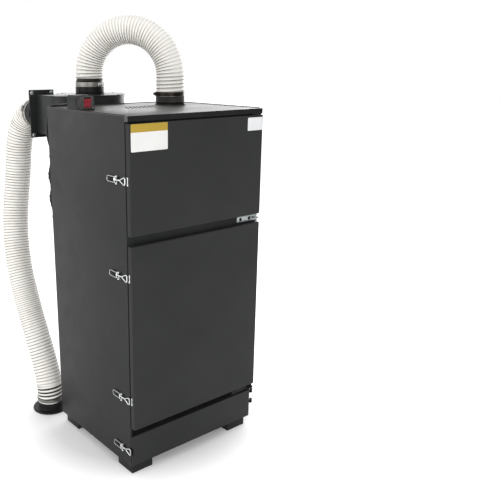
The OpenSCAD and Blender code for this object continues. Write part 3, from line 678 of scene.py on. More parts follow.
hoses = {
    "radius": 52.0, "wall": 3.0, "sag": 2.0, "usualPitch": 12.0, "sagLimits": (0.7, 1.1), "slackGain": 2.4,
    "slackLimits": (0.3, 1.9), "wireBump": 0.5, "wireHalf": 0.2, "spacing": 1.7, "around": 88,
    "innerStep": 12, "fade": 12.0, "darkFade": 3.0, "inHose": 18.0,
}
outletRoute = [
    (91, 749, 1198), (91, 768, 1198), (89, 786, 1193), (85, 803, 1183), (80, 819, 1168), (75, 834, 1147),
    (69, 846, 1121), (64, 856, 1087), (61, 863, 1045), (57, 867, 990), (50, 869, 925), (38, 867, 850),
    (27, 861, 780), (17, 849, 710), (10, 832, 640), (5, 806, 560), (5, 776, 480), (7, 744, 400),
    (10, 713, 330), (14, 683, 260), (17, 655, 195), (17, 632, 140), (15, 618, 98), (14, 612, 62),
    (14, 612, 38),
]
# pitch of the wire at shares of the length; at each end how far the hose is dark, and how dark: painted
# shade between the compressed turns at the outlet hose's lower end, full dark at the arch's ends over their
# spigots
outletTurns = {
    "at": (0, 0.12, 0.35, 0.58, 0.66, 0.72, 0.8, 1), "pitch": (11.5, 12.1, 11.6, 11.1, 8.4, 9.6, 13.2, 12.4),
    "start": (0, 0, 0), "end": (16.0, 66.0, 1),
}
archTurns = {
    "at": (0, 0.1, 0.2, 0.8, 0.9, 1), "pitch": (13.6, 13.0, 10.6, 10.7, 13.0, 13.6),
    "start": (0, 22.0, 2), "end": (0, 33.0, 2),
}


def endShare(distance, low, high, level, fade):
    # the darkness holds from low to high, and falls to 0 over the fade
    return np.clip((high - distance) / fade, 0, 1) * np.clip((distance - low) / fade + 1, 0, 1) * level


def makeHose(name, node, line, even, reference, s, turns):
    # point = centre + r * (cos a * side + sin a * up), where the count of turns is the length over the
    # pitch less a over a full turn, and r dips by a squared sine between one wire and the next; the dip
    # fades out at both ends, and grows with the slack, the radius times the curvature towards the
    # bend's centre
    rows, around = len(line), s["around"]
    side, up = lineAxes(line, reference)
    total = even[-1]
    pitch = np.interp(even / total, turns["at"], turns["pitch"])
    count = np.concatenate([[0], np.cumsum(np.diff(even) / ((pitch[1:] + pitch[:-1]) / 2))])
    a = np.arange(around + 1) * tau / around
    phase = count[:, None] - a[None] / tau
    ends = np.clip(np.minimum(even, total - even) / s["fade"], 0, 1)[:, None]
    toWire = np.abs(phase - np.round(phase))
    ring = np.cos(a)[None, :, None] * side[:, None] + np.sin(a)[None, :, None] * up[:, None]
    bend = np.gradient(unit(np.gradient(line, axis=0)), axis=0) / s["spacing"]
    slack = s["radius"] * (ring * bend[:, None]).sum(-1)
    sag = s["sag"] * np.clip(pitch / s["usualPitch"], *s["sagLimits"])[:, None]
    sag = sag * np.clip(1 + s["slackGain"] * slack, *s["slackLimits"])
    dip = sag * np.sin(math.pi * phase) ** 2 + s["wireBump"] * (toWire > s["wireHalf"])
    outer = line[:, None] + (s["radius"] - ends * dip)[..., None] * ring
    back = np.unique(np.append(np.arange(0, rows, s["innerStep"]), rows - 1))[::-1]
    inner = line[back][:, None] + (s["radius"] - s["wall"]) * ring[back]
    rings = np.concatenate([outer[:, :-1], inner[:, :-1]])
    points, faces = shell(rings, closeRows=True)
    dark = np.maximum(endShare(even, *turns["start"], s["darkFade"]),
                      endShare(total - even, *turns["end"], s["darkFade"]))
    share = np.broadcast_to(dark[:, None], phase.shape)
    # the same grid, one column wider, gives each corner its own numbers
    counts, shares = np.concatenate([phase, phase[back]]), np.concatenate([share, share[back]])
    i, j = np.arange(len(rings))[:, None], np.arange(around)[None]
    nextI = (i + 1) % len(rings)
    corners = [(i, j), (i, j + 1), (nextI, j + 1), (nextI, j)]
    uv = [np.stack(np.broadcast_arrays(shares[c], counts[c]), -1) for c in corners]
    uv = np.stack(uv, 2).reshape(-1, 4, 2)
    if signedVolume(points, [gridQuads(len(rings), around, True)]) < 0:
        uv = uv[:, ::-1]
    hose = solid(name, [(points, faces)], "hose", node, uv=uv.reshape(-1, 2), angle=80)
    values = np.concatenate([slack, slack[back]])[:, :-1].ravel()
    kept = hose.data.attributes.new("slack", "FLOAT", "POINT")
    kept.data.foreach_set("value", values.astype(np.float32))
    return hose


def archLine(s):
    # two straight legs and half a ring between the roof's collar and the fan's
    held = ("roof_collar", "fan_inlet_collar")
    start, end = (over(node, nodeBox(node)[1][2] - s["inHose"]) for node in held)
    across = (end - start) * (1, 1, 0)
    radius = np.linalg.norm(across) / 2
    bendZ = nodeBox("arch_hose")[1][2] - s["radius"] - radius
    along = unit(across)
    lengths = np.array([bendZ - start[2], math.pi * radius, bendZ - end[2]])
    even = np.linspace(0, lengths.sum(), int(lengths.sum() / s["spacing"]))
    angle = np.clip((even - lengths[0]) / radius, 0, math.pi)
    rise = np.minimum(even, lengths[0]) - lengths[0] - np.maximum(even - lengths[:2].sum(), 0)
    middle = (start + end) / 2 * (1, 1, 0) + (0, 0, bendZ)
    line = middle - np.cos(angle)[:, None] * radius * along
    line = line + (np.sin(angle) * radius + rise)[:, None] * np.array([0, 0, 1])
    return line, even, np.cross(along, (0, 0, 1))


outletLine, outletEven = smoothLine([corner(*p) for p in outletRoute], hoses["spacing"])
outletHose = makeHose("outletHose", "outlet_hose", outletLine, outletEven, (1, 0, 0), hoses, outletTurns)
makeHose("archHose", "arch_hose", *archLine(hoses), hoses, archTurns)
print("hoses made, outlet hose", round(outletEven[-1]), "mm")

# ---------- collars, end flange and clamps

collars = {
    "foot": 57.0, "footT": 3.0, "roof_collar": 53.4, "fan_inlet_collar": 54.5, "height": 27.0,
    "spigot": 48.5, "bore": 45.5, "barrelFrom": 10.0, "barrelRings": 41,
}
sleeve = {"ribs": 5, "ribDepth": 1.3, "outer": 54.9, "inner": 48.5, "from": 9.5, "to": 28.0}


def makeCollar(name, node, s):
    # foot, straight barrel, and the spigot inside the hose
    foot, footT, outer, height, bore = s["foot"], s["footT"], s[node], s["height"], s["bore"]
    top = height + hoses["inHose"]
    barrel = [(outer, z) for z in np.linspace(s["barrelFrom"], height - 0.6, s["barrelRings"])]
    profile = [(bore, 0), (foot - 0.6, 0), (foot, 0.6), (foot, footT - 0.8), (foot - 0.8, footT),
               (outer - 0.6, footT + 0.4), (outer, footT + 1.4), *barrel, (outer - 0.8, height),
               (s["spigot"], height), (s["spigot"], top), (bore, top)]
    part = placed(lathe(profile, 96), over(node, nodeBox(node)[0][2]))
    solid(name, [part], "collar", node)


def makeSleeve(s):
    # a ribbed grey sleeve round the roof collar's barrel, its outer side a cosine between two flat ends
    z = np.linspace(s["from"], s["to"], s["ribs"] * 8 + 1)
    wave = s["ribDepth"] / 2 * (1 - np.cos((z - z[0]) / (z[-1] - z[0]) * tau * s["ribs"]))
    profile = [(s["inner"], z[0]), *np.column_stack([s["outer"] - wave, z]), (s["inner"], z[-1])]
    part = placed(lathe(profile, 96), over("roof_collar", nodeBox("roof_collar")[0][2]))
    solid("roofCollarSleeve", [part], "ribbed")


endFlange = {
    "radius": 72.0, "t": 8.0, "hub": 52.0, "hubH": 38.0, "bore": 45.5, "cap": 3.0, "hole": 0.6,
    "neck": 1.5, "bead": (8.0, 10.0), "rounds": (0.5, 2.8, 2.6, 1.6, 1.6, 1.5, 1.5, 2.0, 0.1, 0.1, 0.8),
    "screws": 4, "screw": (3.2, 0.8, 1.4), "screwAt": 63.0, "screwPhase": 0.5,
}


def makeEndFlange(s):
    # a thick rim, a hub with a bead and a bore that ends under the hub's top
    middle = over("hose_end_flange", 0)
    t, hub, hubH, neck, capZ = s["t"], s["hub"], s["hubH"], s["hub"] - s["neck"], s["hubH"] - s["cap"]
    profile = [(s["bore"], 0), (s["radius"], 0), (s["radius"], t), (hub + 3, t), (neck, t + 4),
               (neck, hubH - s["bead"][1]), (hub, hubH - s["bead"][0]), (hub, hubH), (s["hole"], hubH),
               (s["hole"], capZ), (s["bore"], capZ)]
    part = placed(lathe(filleted(profile, s["rounds"]), 112), middle)
    piece = solid("hoseEndFlange", [part], "collar", "hose_end_flange")
    heads = ringOf(dome(*s["screw"]), s["screws"], s["screwAt"], t, s["screwPhase"])
    solid("hoseEndScrews", [placed(h, middle) for h in heads], "blackScrew")
    return piece


clamps = {
    "inner": 52.3, "t": 0.9, "bead": (0.25, 0.8), "lift": 1.2, "w": 12.0, "tail": (-14, 34.0),
    "tailLift": 0.4, "tailT": 0.8, "tailLess": 2.4, "slots": 14, "slotGap": 2.4, "slotFrom": 9.5,
    "slotDeep": (-0.35, 0.28), "slotHalf": 0.75, "slotEnd": 2.6, "house": (17.0, 12.4, 7.2),
    "shoulder": 2.6, "screwR": 3.3, "screwL": 24.0, "screwOut": 4.1, "headR": 4.2, "headL": 5.2,
    "thread": 2.6,
}
clampPlaces = {
    "roofUp": 7.0, "roofSpin": 150, "roofWide": 16.0, "rim": (52.4, 54.2, 1.4), "rims": (-8.7, 7.3),
    "knobAt": (141.8, 51.5, 58.5), "knob": (4.6, 1.0, 4.2, 28), "stem": (2.2, 8.0), "fanDown": 6.5,
    "fanSpin": -75, "fanWide": 18.0, "outletSpin": 20, "endSpin": -80,
}


def clampParts(s, wide):
    # a flat band with rolled edges, its tail lapping over under a pressed housing that holds the screw
    half, r, t, lift = wide / 2, s["inner"], s["inner"] + s["t"], s["inner"] + s["lift"]
    beadR, beadZ = t + s["bead"][0], half - s["bead"][1]
    profile = [(r, -half), (t, -half), (beadR, -beadZ), (beadR, beadZ), (t, half), (r, half)]
    band = [lathe(filleted(profile, 0.25, 3), 128)]
    a = np.radians(np.linspace(*s["tail"], 26))
    tailR, tailT = lift + s["tailLift"], s["tailT"]
    line = np.column_stack([np.cos(a) * tailR, np.sin(a) * tailR, np.zeros(len(a))])
    band.append(sweep(line, roundRect(wide - s["tailLess"], tailT, 0.3, 3), (0, 0, 1)))
    (inside, outside), across, long = s["slotDeep"], s["slotHalf"], half - s["slotEnd"]
    tooth = block((inside, -across, -long), (outside, across, long), 0.2, 0.25, along=0)
    for angle in (np.arange(s["slots"]) - 2) * s["slotGap"] + s["slotFrom"]:
        turn = turned((0, 0, 1), angle)
        band.append(placed(tooth, turn[0] * (tailR + tailT / 2 + 0.15), turn))
    length, tall, deep = s["house"]
    x, knee = tall / 2, deep * 0.55
    top = x - s["shoulder"]
    arch = filleted([(-x, 0), (x, 0), (x, knee), (top, deep), (-top, deep), (-x, knee)],
                    [0.4, 0.4, 1.6, 2.0, 2.0, 1.6])
    house = prism(arch, -length / 2, length / 2, 0.7)
    house = placed(house, (lift, 0, 0), [(0, 0, 1), (1, 0, 0), (0, 1, 0)])
    out, end = lift + s["screwOut"], s["screwL"] / 2
    # the thread, its six-sided head and the collar under the head
    screw = [(-end, threaded(s["screwL"] - 6, s["screwR"], s["thread"])),
             (end - 6.2, hexagon(s["headR"], 0, s["headL"])), (end - 7.0, rod(s["headR"] + 0.6, 0, 0.9))]
    alongBand = [(1, 0, 0), (0, 0, -1), (0, 1, 0)]
    return band, [house, *(placed(part, (out, y, 0), alongBand) for y, part in screw)]


def placeClamp(origin, direction, spin, wide):
    # the band's parts and the screw's, with the clamp's axis along direction and its housing turned
    axes = turned(direction, spin)
    return [[placed(p, origin, axes) for p in group] for group in clampParts(clamps, wide)]


def makeClamps(s, wide):
    low, high = nodeBox("arch_clamps")
    onRoof = over("roof_collar", low[2] + s["roofUp"])
    onFan = over("fan_inlet_collar", high[2] - s["fanDown"])
    band, screw = placeClamp(onRoof, (0, 0, 1), s["roofSpin"], s["roofWide"])
    solid("roofClamp", band + screw, "bandDark", "arch_clamps")
    inner, outer, tall = s["rim"]
    rim = frameRing(circle(outer, 128), circle(inner, 128), 0, tall)
    solid("roofClampRims", [placed(rim, onRoof + (0, 0, z)) for z in s["rims"]], "bandPlain")
    angle, stem, button = s["knobAt"]
    away = np.array([math.cos(math.radians(angle)), math.sin(math.radians(angle)), 0])
    radius, long = s["stem"]
    knob = studs(dome(*s["knob"]), [onRoof + away * button], away)
    knob += studs(rod(radius, 0, long, count=20), [onRoof + away * stem], away)
    solid("roofClampKnob", knob, "barrel")
    band, screw = placeClamp(onFan, (0, 0, 1), s["fanSpin"], s["fanWide"])
    solid("fanClamp", band, "bandPlain")
    solid("fanClampScrew", screw, "zinc")
    start = corner(*outletRoute[0]) * (1, 0, 1) + middleOf("outlet_clamp") * (0, 1, 0)
    band, screw = placeClamp(start, (0, 1, 0), s["outletSpin"], wide)
    solid("outletClamp", band + screw, "steel", "outlet_clamp")
    onFlange = over("hose_end_flange", middleOf("hose_end_clamp")[2])
    band, screw = placeClamp(onFlange, (0, 0, 1), s["endSpin"], wide)
    return solid("hoseEndClamp", band + screw, "steel", "hose_end_clamp")


makeCollar("roofCollar", "roof_collar", collars)
makeSleeve(sleeve)
makeCollar("fanInletCollar", "fan_inlet_collar", collars)
flangePiece = makeEndFlange(endFlange)
endClamp = makeClamps(clampPlaces, clamps["w"])
print("collars and clamps made")

# ---------- cabinet

# look, edge and slot of the nodes that keep their own shape
plainPieces = {
    "left_wall": ("powder", 0.9, "powder_coat"), "right_wall": ("powder", 0.9, "powder_coat"),
    "rear_wall": ("powder", 0.7, "powder_coat"), "roof": ("powderTop", 0.3, "powder_coat"),
    "floor_plate": ("powder", 0.6, "powder_coat"), "front_stiles": ("powderDark", 0.6, "frame_black"),
    "front_rails": ("powderDark", 0.6, "frame_black"), "feet": ("powderDark", 1.6, "frame_black"),
    "fan_bracket": ("powderDark", 0.8, "frame_black"), "motor_cowl": ("motor", 1.0, "motor_black"),
    "top_hinge": ("powderDark", 0.5, "frame_black"), "cable_clips": ("switch", 0.6, "switch_black"),
}
slotZone = {"low": (130, 200), "high": (400, 370)}


def darkenRoof(piece, s):
    # the cut edges of the roof's slots, faces that stand upright inside the zone round the slots, are black,
    # painted shade in the slots, and the roof's front faces are darker, painted shade on the faces turned to
    # the front
    mesh = piece.data
    mesh.materials.append(looks["slotShade"])
    mesh.materials.append(looks["roofFrontShade"])
    middle, normal = (np.empty(len(mesh.polygons) * 3, np.float32) for _ in range(2))
    mesh.polygons.foreach_get("center", middle)
    mesh.polygons.foreach_get("normal", normal)
    low, high = corner(*s["low"], 0) * mm, corner(*s["high"], 0) * mm
    middle, normal = middle.reshape(-1, 3), normal.reshape(-1, 3)
    inside = ((middle[:, :2] > low[:2]) & (middle[:, :2] < high[:2])).all(axis=1)
    slots, front = inside & (np.abs(normal[:, 2]) < 0.5), ~inside & (normal[:, 1] < -0.5)
    mesh.polygons.foreach_set("material_index", (slots + 2 * front).astype(np.int32))


for node, plain in plainPieces.items():
    piece = softened(node, *plain)
    if node == "roof":
        darkenRoof(piece, slotZone)

gapSeal = {"low": (8, -1.6, 160), "high": (468, 0.3, 188)}
hem = {"w": 2.4, "in": 0.4, "drop": 1.0, "rise": 2.2, "lip": 4.0, "edge": 1.0}


def makeGapSeal(s):
    # a foam strip along the rail between the hatch and the lower door, up to the hinge bracket
    strip = block(corner(*s["low"]), corner(*s["high"]), 0.4, along=0)
    solid("gapSeal", [strip], "foam")


def makeRoofHem(s):
    # a rolled edge that stands up along the roof's left, rear and right sides
    x0, x1, y0, y1 = cornerX + s["in"], rightX - s["in"], cornerY - s["lip"] + s["in"], rearY - s["in"]
    runs = [(x0, x0 + s["w"], y0, y1, 1), (x1 - s["w"], x1, y0, y1, 1), (x0, x1, y1 - s["w"], y1, 0)]
    parts = [block((a, c, roofZ - s["drop"]), (b, d, roofZ + s["rise"]), s["edge"], along=k)
             for a, b, c, d, k in runs]
    solid("roofHem", parts, "powder")


doorPan = {"fold": 2.6, "sheet": 2.0, "radius": 2.4, "bosses": True, "seal": (5.0, 14.0)}
pans = {
    "upper_door": doorPan, "lower_door": doorPan,
    "hatch": {"fold": 1.6, "sheet": 2.0, "radius": 2.0, "bosses": False, "seal": (5.0, 13.0), "margin": 7.0,
              "gap": 2.0},
}
seals = {"in": 3.0, "gap": 0.3, "edge": 0.8}
hingeLine = {
    "in": 8.0, "out": 13.0, "pin": 4.0, "play": 0.1, "boss": 9.0, "bossH": 14.0, "bossAt": (-0.4, 0.2),
}


def panPart(low, high, s):
    # rings about the Y axis: in over the front fold along a quarter circle, back along the side, and in
    # again behind
    size, middle = high - low, (high + low) / 2
    fold, sheet = s["fold"], s["sheet"]
    a = np.linspace(0, math.pi / 2, 6)
    rows = [(fold * (1 - math.sin(t)), low[1] + fold * (1 - math.cos(t))) for t in a]
    rows += [(0, high[1] - 0.4), (0.4, high[1]), (sheet - 0.3, high[1]), (sheet, high[1] - 0.3)]
    rows += [(sheet, low[1] + sheet + 1.2), (sheet + 1.2, low[1] + sheet)]
    return upright([(roundRect(size[0] - 2 * pull, size[2] - 2 * pull, max(s["radius"] - pull, 0.4)), y)
                    for pull, y in rows], middle)


def sealParts(low, high, span, s):
    # a frame of four foam strips between the pan's back and the cabinet's front
    near, far = span
    x0, x1, x2, x3 = low[0] + near, low[0] + far, high[0] - far, high[0] - near
    z0, z1, z2, z3 = low[2] + near, low[2] + far, high[2] - far, high[2] - near
    back, front = high[1] - s["in"], cornerY - s["gap"]
    strips = [(x0, z0, x1, z3, 2), (x2, z0, x3, z3, 2), (x1, z0, x2, z1, 0), (x1, z2, x2, z3, 0)]
    return [block((a, back, b), (c, front, d), s["edge"], along=k) for a, b, c, d, k in strips]


def makePan(node, s, h):
    # the folded sheet, its seal, and on a door two tubes that turn on the hinges' pins
    low, high = nodeBox(node)
    if "margin" in s:
        high = np.array([rightX - s["margin"], cornerY - s["gap"], high[2]])
    parts = [panPart(low, high, s)]
    if s["bosses"]:
        tube = frameRing(circle(h["boss"], 32), circle(h["pin"] + h["play"], 32), 0, h["bossH"])
        x, y = rightX - h["in"] + h["bossAt"][0], cornerY - h["out"] + h["bossAt"][1]
        parts += [placed(tube, (x, y, z)) for z in (low[2] + 0.5, high[2] - h["bossH"] - 0.5)]
    name = short(node) + "Pan"
    solid(name, parts, "powder", node, node)
    solid(name + "Seal", sealParts(low, high, s["seal"], seals), "foam", body=node)


barrels = {
    "r": 5.6, "tall": 9.0, "lift": 0.5, "out": 7.0, "fore": 2.0, "round": 3.2, "pin": 2.4,
    "leaf": (1.5, 19.0), "webHalf": 1.6, "screwsBack": (8, 15), "screw": (1.9, 0.3, 0.8, 18),
    "armIn": 8.5, "armY": (4.8, 2.0), "trim": 0.8,
}


def makeHatchBarrels(s):
    # two barrel hinges on the right side: a fixed lower half with its leaf, and the hatch's upper half
    low, high = nodeBox("hatch_hinge")
    x, y, tall = rightX + s["out"], cornerY - s["fore"], s["tall"]
    half = prism(circle(s["r"], 32), 0, tall, s["round"], 5)
    leafT, leafBack = s["leaf"]
    fixed, moving = [], []
    for z in (low[2], high[2] - 2 * tall + 1):
        top, upper = z + tall, z + tall + s["lift"]
        leaf = (rightX, cornerY - 1, z + 0.5), (rightX + leafT, cornerY + leafBack, top - 0.5)
        web = (rightX, y - s["webHalf"], z + 0.6), (x, y + s["webHalf"], top - 0.6)
        fixed += [placed(half, (x, y, z)), placed(rod(s["pin"], 0, tall - 1.5, 0.4, 20), (x, y, top)),
                  block(*leaf, 0.4, 2.0, along=0), block(*web, 0.4, along=0)]
        places = [(rightX + leafT - 0.1, cornerY + back, z + tall / 2) for back in s["screwsBack"]]
        fixed += studs(dome(*s["screw"]), places, (1, 0, 0))
        arm = ((rightX - s["armIn"], y - s["armY"][0], upper + s["trim"]),
               (x, y - s["armY"][1], upper + tall - s["trim"]))
        moving += [placed(half, (x, y, upper)), block(*arm, 0.4, along=0)]
    solid("hatchHinges", fixed, "barrel", "hatch_hinge")
    solid("hatchBarrels", moving, "barrel", body="hatch")


bracket = {
    "t": 3.0, "plateHalf": 10.5, "tongueW": 22.0, "screws": (32.0, 74.0), "screw": (6.2, 1.8, 3.2),
    "washer": (7.5, 1.6),
}
brackets = {"middle_hinge": ("zinc", "zinc"), "lower_hinge": ("powderDark", "frame_black")}


def makeBracket(node, look, slot, middleZ, s, h):
    # a plate on the rail with two black screws, a tongue bent out of it, and the pins that doors turn on
    low, high = nodeBox(node)
    t, half, x, y = s["t"], s["plateHalf"], rightX - h["in"], cornerY - h["out"]
    through = low[2] < middleZ - half - 1
    plate = (low[0], high[1] - t, middleZ - half), (high[0], high[1], middleZ + half)
    tongue = (high[0] - s["tongueW"], low[1], middleZ - t / 2), (high[0], high[1] - 1, middleZ + t / 2)
    pin = rod(h["pin"], low[2] if through else middleZ, high[2], 0.8)
    radius, thick = s["washer"]
    washer = rod(radius, 0, thick, 0.4, 40)
    parts = [block(*plate, 0.6, 3.5, along=1), block(*tongue, 0.5, 3.0), placed(pin, (x, y, 0)),
             placed(washer, (x, y, middleZ + t / 2))]
    if through:
        parts.append(placed(washer, (x, y, middleZ - t / 2 - thick)))
    solid(short(node) + "Plate", parts, look, node)
    places = [(high[0] - x, high[1] - t, middleZ) for x in s["screws"]]
    heads = studs(socketScrew(*s["screw"]), places, (0, -1, 0))
    solid(short(node) + "Screws", heads, "blackScrew")


makeGapSeal(gapSeal)
makeRoofHem(hem)
for node, s in pans.items():
    makePan(node, s, hingeLine)
makeHatchBarrels(barrels)
gaps = {"middle_hinge": ("lower_door", "upper_door"), "lower_hinge": ("hatch", "lower_door")}
for node, (under, above) in gaps.items():
    gapZ = (nodeBox(under)[1][2] + nodeBox(above)[0][2]) / 2
    makeBracket(node, *brackets[node], gapZ, bracket, hingeLine)
print("cabinet made")

# ---------- latches, counted outwards (n), rearwards (u) and upwards (z) from the front left edge

latch = {
    "pivot": (7.0, 40.0), "base": (30.0, 88.0), "baseHalf": 9.8, "baseT": 1.5, "baseScrewU": 83.0,
    "baseScrew": (2.4, 0.3, 1.0, 20), "rivet": (2.4, 0.2, 0.9),
    "earIn": 10.8, "earOut": 13.0, "earHalf": 4.6, "earTop": 10.6, "earTaper": 0.8,
    "saddle": ((37.0, 12.0), (45.5, 5.4), (49.0, 0.0)), "saddleN": 2.6, "saddleBar": (2.6, 3.0),
    "armFrom": 36.5, "armTo": 90.0, "armHalf": 9.0, "armN": 6.5, "arm": (5.6, 1.7), "bend": 5.5,
    "pin": (5.8, 52.0), "pinR": 1.7, "barrel": (3.0, 9.0), "rod": 1.7, "thread": 0.9, "nut": (3.1, 2.6, 1.2),
    "apex": 24.0, "bar": -6.0, "bailHalf": 14.0, "wire": 1.85, "catch": (-16.0, -8.0), "catchHalf": 13.5,
    "catchN": (-1.5, 1.4), "waist": 1.3, "tips": (1.4, 0.9), "lipU": (-6.8, -5.0), "lipN": 3.2,
    "lipHalf": 8.0, "lipFoot": 8.0, "hatchLip": 2.2,
}


def atLatch(z, parts):
    return [placed(p, (cornerX, cornerY, z), [(-1, 0, 0), (0, 1, 0), (0, 0, 1)]) for p in parts]


def latchBaseParts(s):
    low, high = s["base"]
    plate = block((0, low, -s["baseHalf"]), (s["baseT"], high, s["baseHalf"]), 0.4, 4.0, along=0)
    return [plate, *studs(dome(*s["baseScrew"]), [(s["baseT"] - 0.1, s["baseScrewU"], 0)], (1, 0, 0))]


def earParts(s):
    # two upright ears with round tops, each with a rivet through the lever's arm, and the curved saddle
    # between them
    n, u = s["pivot"]
    half, top, narrow = s["earHalf"], s["earTop"], s["earHalf"] * s["earTaper"]
    corners = [(u - half, 0.2), (u + half, 0.2), (u + narrow, top), (u - narrow, top)]
    outline = filleted(corners, [0.6, 0.6, 3.2, 3.2], 6)
    rail = [(s["saddleN"], at, z) for at, z in s["saddle"]]
    rail += [(s["saddleN"], at, -z) for at, z in s["saddle"][1::-1]]
    line, _ = smoothLine(rail, 1.2)
    parts = [sweep(line, roundRect(*s["saddleBar"], 0.8, 4), (1, 0, 0))]
    for side in (-1, 1):
        ends = sorted((side * s["earIn"], side * s["earOut"]))
        parts.append(placed(prism(outline, *ends), (0, 0, 0), [(0, 1, 0), (1, 0, 0), (0, 0, 1)]))
        parts += studs(dome(*s["rivet"]), [(n, u, side * s["earOut"])], (0, 0, side))
        ends = sorted((side * (s["armHalf"] - 1.2), side * s["earOut"]))
        parts.append(placed(rod(s["pinR"], *ends, count=20), (n, u, 0)))
    return parts


def leverParts(s):
    # a strip bent into a U whose arms turn on the ears, with the bail's pin across it
    n, near, far, half = s["armN"], s["armFrom"], s["armTo"], s["armHalf"]
    corners = [(n, near, half), (n, far, half), (n, far, -half), (n, near, -half)]
    strip = sweep(filleted(corners, s["bend"], 8, closed=False), roundRect(*s["arm"], 0.6, 4), (1, 0, 0))
    return [strip, placed(rod(s["pinR"], -half, half, count=20), (*s["pin"], 0))]


def bailParts(s):
    # barrel on the pin, threaded rod with a nut, and a triangle of round wire with bent corners
    n, u = s["pin"]
    radius, long = s["barrel"]
    nutR, nutH, nutU = s["nut"]
    barrel = placed(rod(radius, -long / 2, long / 2, 0.7), (n, u, 0))
    screw = placed(threaded(u - s["apex"], s["rod"], s["thread"]), (n, s["apex"], 0), rearward)
    nut = placed(hexagon(nutR, 0, nutH), (n, s["apex"] + nutU, 0), rearward)
    corners = [(n, s["apex"] + 1, 0), (n, s["bar"], s["bailHalf"]), (n, s["bar"], -s["bailHalf"])]
    wire = sweep(filleted(corners, [2.4, 4.6, 4.6], 9), circle(s["wire"], 14), (1, 0, 0), closed=True)
    return [barrel, screw, nut, wire]


def catchParts(s):
    # a waisted plate on the door's edge: both long sides draw in by a cosine halfway up
    front, back = s["catch"]
    z = np.linspace(-s["catchHalf"], s["catchHalf"], 25)
    away = z / s["catchHalf"]
    tip, tipFrom = s["tips"]
    pull = s["waist"] * np.cos(away * math.pi / 2) ** 2
    pull = pull + tip * np.clip((np.abs(away) - tipFrom) / (1 - tipFrom), 0, 1)
    sides = np.column_stack([front + pull, z]), np.column_stack([back - pull, z])[::-1]
    line = np.concatenate(sides)[::-1]
    return [placed(prism(line, *s["catchN"], 0.6), (0, 0, 0), [(0, 1, 0), (0, 0, 1), (1, 0, 0)])]


def lipParts(s, front, back, half):
    # the low rounded lip that the bail's bar lies over, and its foot on the door's edge
    foot = s["catchN"][0]
    return [block((foot, front, -half), (s["lipN"], back, half), 0.8, 0.8),
            block((foot, front - s["lipFoot"], -half), (-0.1, back, half), 0.4, 1.0, along=0)]


def makeLatches(s):
    heights = [middleOf(f"lever_{number}")[2] for number in range(1, 5)]

    def made(name, zs, parts, look, node=None, body="cabinet"):
        solid(name, [p for z in zs for p in atLatch(z, parts)], look, node, body)

    # the latch base plates and their screws are drawn black: painted shade inside the levers' loops
    made("latchShadePlates", heights, latchBaseParts(s), "barrel")
    made("latchEars", heights, earParts(s), "chrome", "latch_bases")
    for number, z in enumerate(heights, 1):
        for kind, parts in (("lever", leverParts(s)), ("bail", bailParts(s))):
            node = f"{kind}_{number}"
            made(f"latch{kind.title()}{number}", [z], parts, "chrome", node, node)
    catches = {"upper_catch": ("upper_door", heights[:1]), "lower_catches": ("lower_door", heights[1:3])}
    for node, (body, zs) in catches.items():
        made(short(node) + "Plate", zs, catchParts(s), "chrome", node, body)
        made(short(node) + "Lip", zs, lipParts(s, *s["lipU"], s["lipHalf"]), "shadedZinc", None, body)
    back = nodeBox("hatch_catch")[1][1] - cornerY
    lip = lipParts(s, back - s["hatchLip"], back, s["catchHalf"])
    made("hatchcatchLip", heights[3:], lip, "shadedZinc", "hatch_catch", "hatch")


makeLatches(latch)
print("latches made")

# ---------- fan, duct and motor

fan = {
    "lobe": 100.0, "ductW": 52.0, "ductEnd": 696.0, "rim": 2.2, "rimT": 2.4, "screws": 10,
    "screw": (3.4, 0.4, 1.6), "screwIn": 9.0, "screwPhase": 0.2, "flange": (103.0, 179.0, 3.0),
    "flangeR": 3.5, "windowLess": 6.0, "windowH": 78.0, "boltIn": 10.5, "boss": 52.0, "bossWall": 6.5,
    "bossEnd": 749.0, "head": 6.2, "washer": 7.6, "headT": 4.6, "nutT": 6.0,
}


def scrollOutline(s):
    # the duct's left wall, the lobe's circle, the fan's circle, the lobe again up to the duct's right wall;
    # two circles at distance d meet where the angle off the line between them has cosine
    # (d2 + r1 * r1 - r2 * r2) / (2 d r1)
    axis = middleOf("fan_inlet_collar")[:2]
    low, high = nodeBox("fan_housing")
    r, lobe = high[0] - axis[0], s["lobe"]
    centre = np.array([low[0] + lobe, axis[1] - r + lobe])
    step = axis - centre
    d = np.linalg.norm(step)
    ahead = math.atan2(step[1], step[0])
    onLobe = ahead + math.acos((d * d + lobe * lobe - r * r) / (2 * d * lobe))
    meet = centre + lobe * np.array([math.cos(onLobe), math.sin(onLobe)])
    onFan = math.atan2(meet[1] - axis[1], meet[0] - axis[0])
    rightWall = low[0] + s["ductW"]
    last = math.acos((rightWall - centre[0]) / lobe)
    end = cornerY + s["ductEnd"]
    arcs = [(centre, lobe, math.pi, 1.5 * math.pi, 26), (axis, r, -0.5 * math.pi, onFan, 72),
            (centre, lobe, onLobe + 0.02, last, 8)]
    points = [np.array([[low[0], end]])]
    for middle, size, start, stop, count in arcs:
        a = np.linspace(start, stop, count)
        points.append(middle + size * np.stack([np.cos(a), np.sin(a)], 1))
    points.append(np.array([[rightWall, end]]))
    return np.vstack(points), axis, r


def makeFan(s):
    # the scroll between two rimmed plates, and a ring of screws in the upper one
    line, axis, r = scrollOutline(s)
    low, high = nodeBox("fan_housing")[0][2], nodeBox("fan_housing")[1][2]
    rim = inset(line, -s["rim"])
    parts = [prism(line, low + 1, high - 1, 0.3), prism(rim, high - s["rimT"], high, 0.8),
             prism(rim, low, low + s["rimT"], 0.8)]
    solid("fanHousing", parts, "powderFan", "fan_housing", angle=30)
    heads = ringOf(dome(*s["screw"]), s["screws"], r - s["screwIn"], high - 0.2, s["screwPhase"])
    solid("fanScrews", [placed(h, (*axis, 0)) for h in heads], "blackScrew")


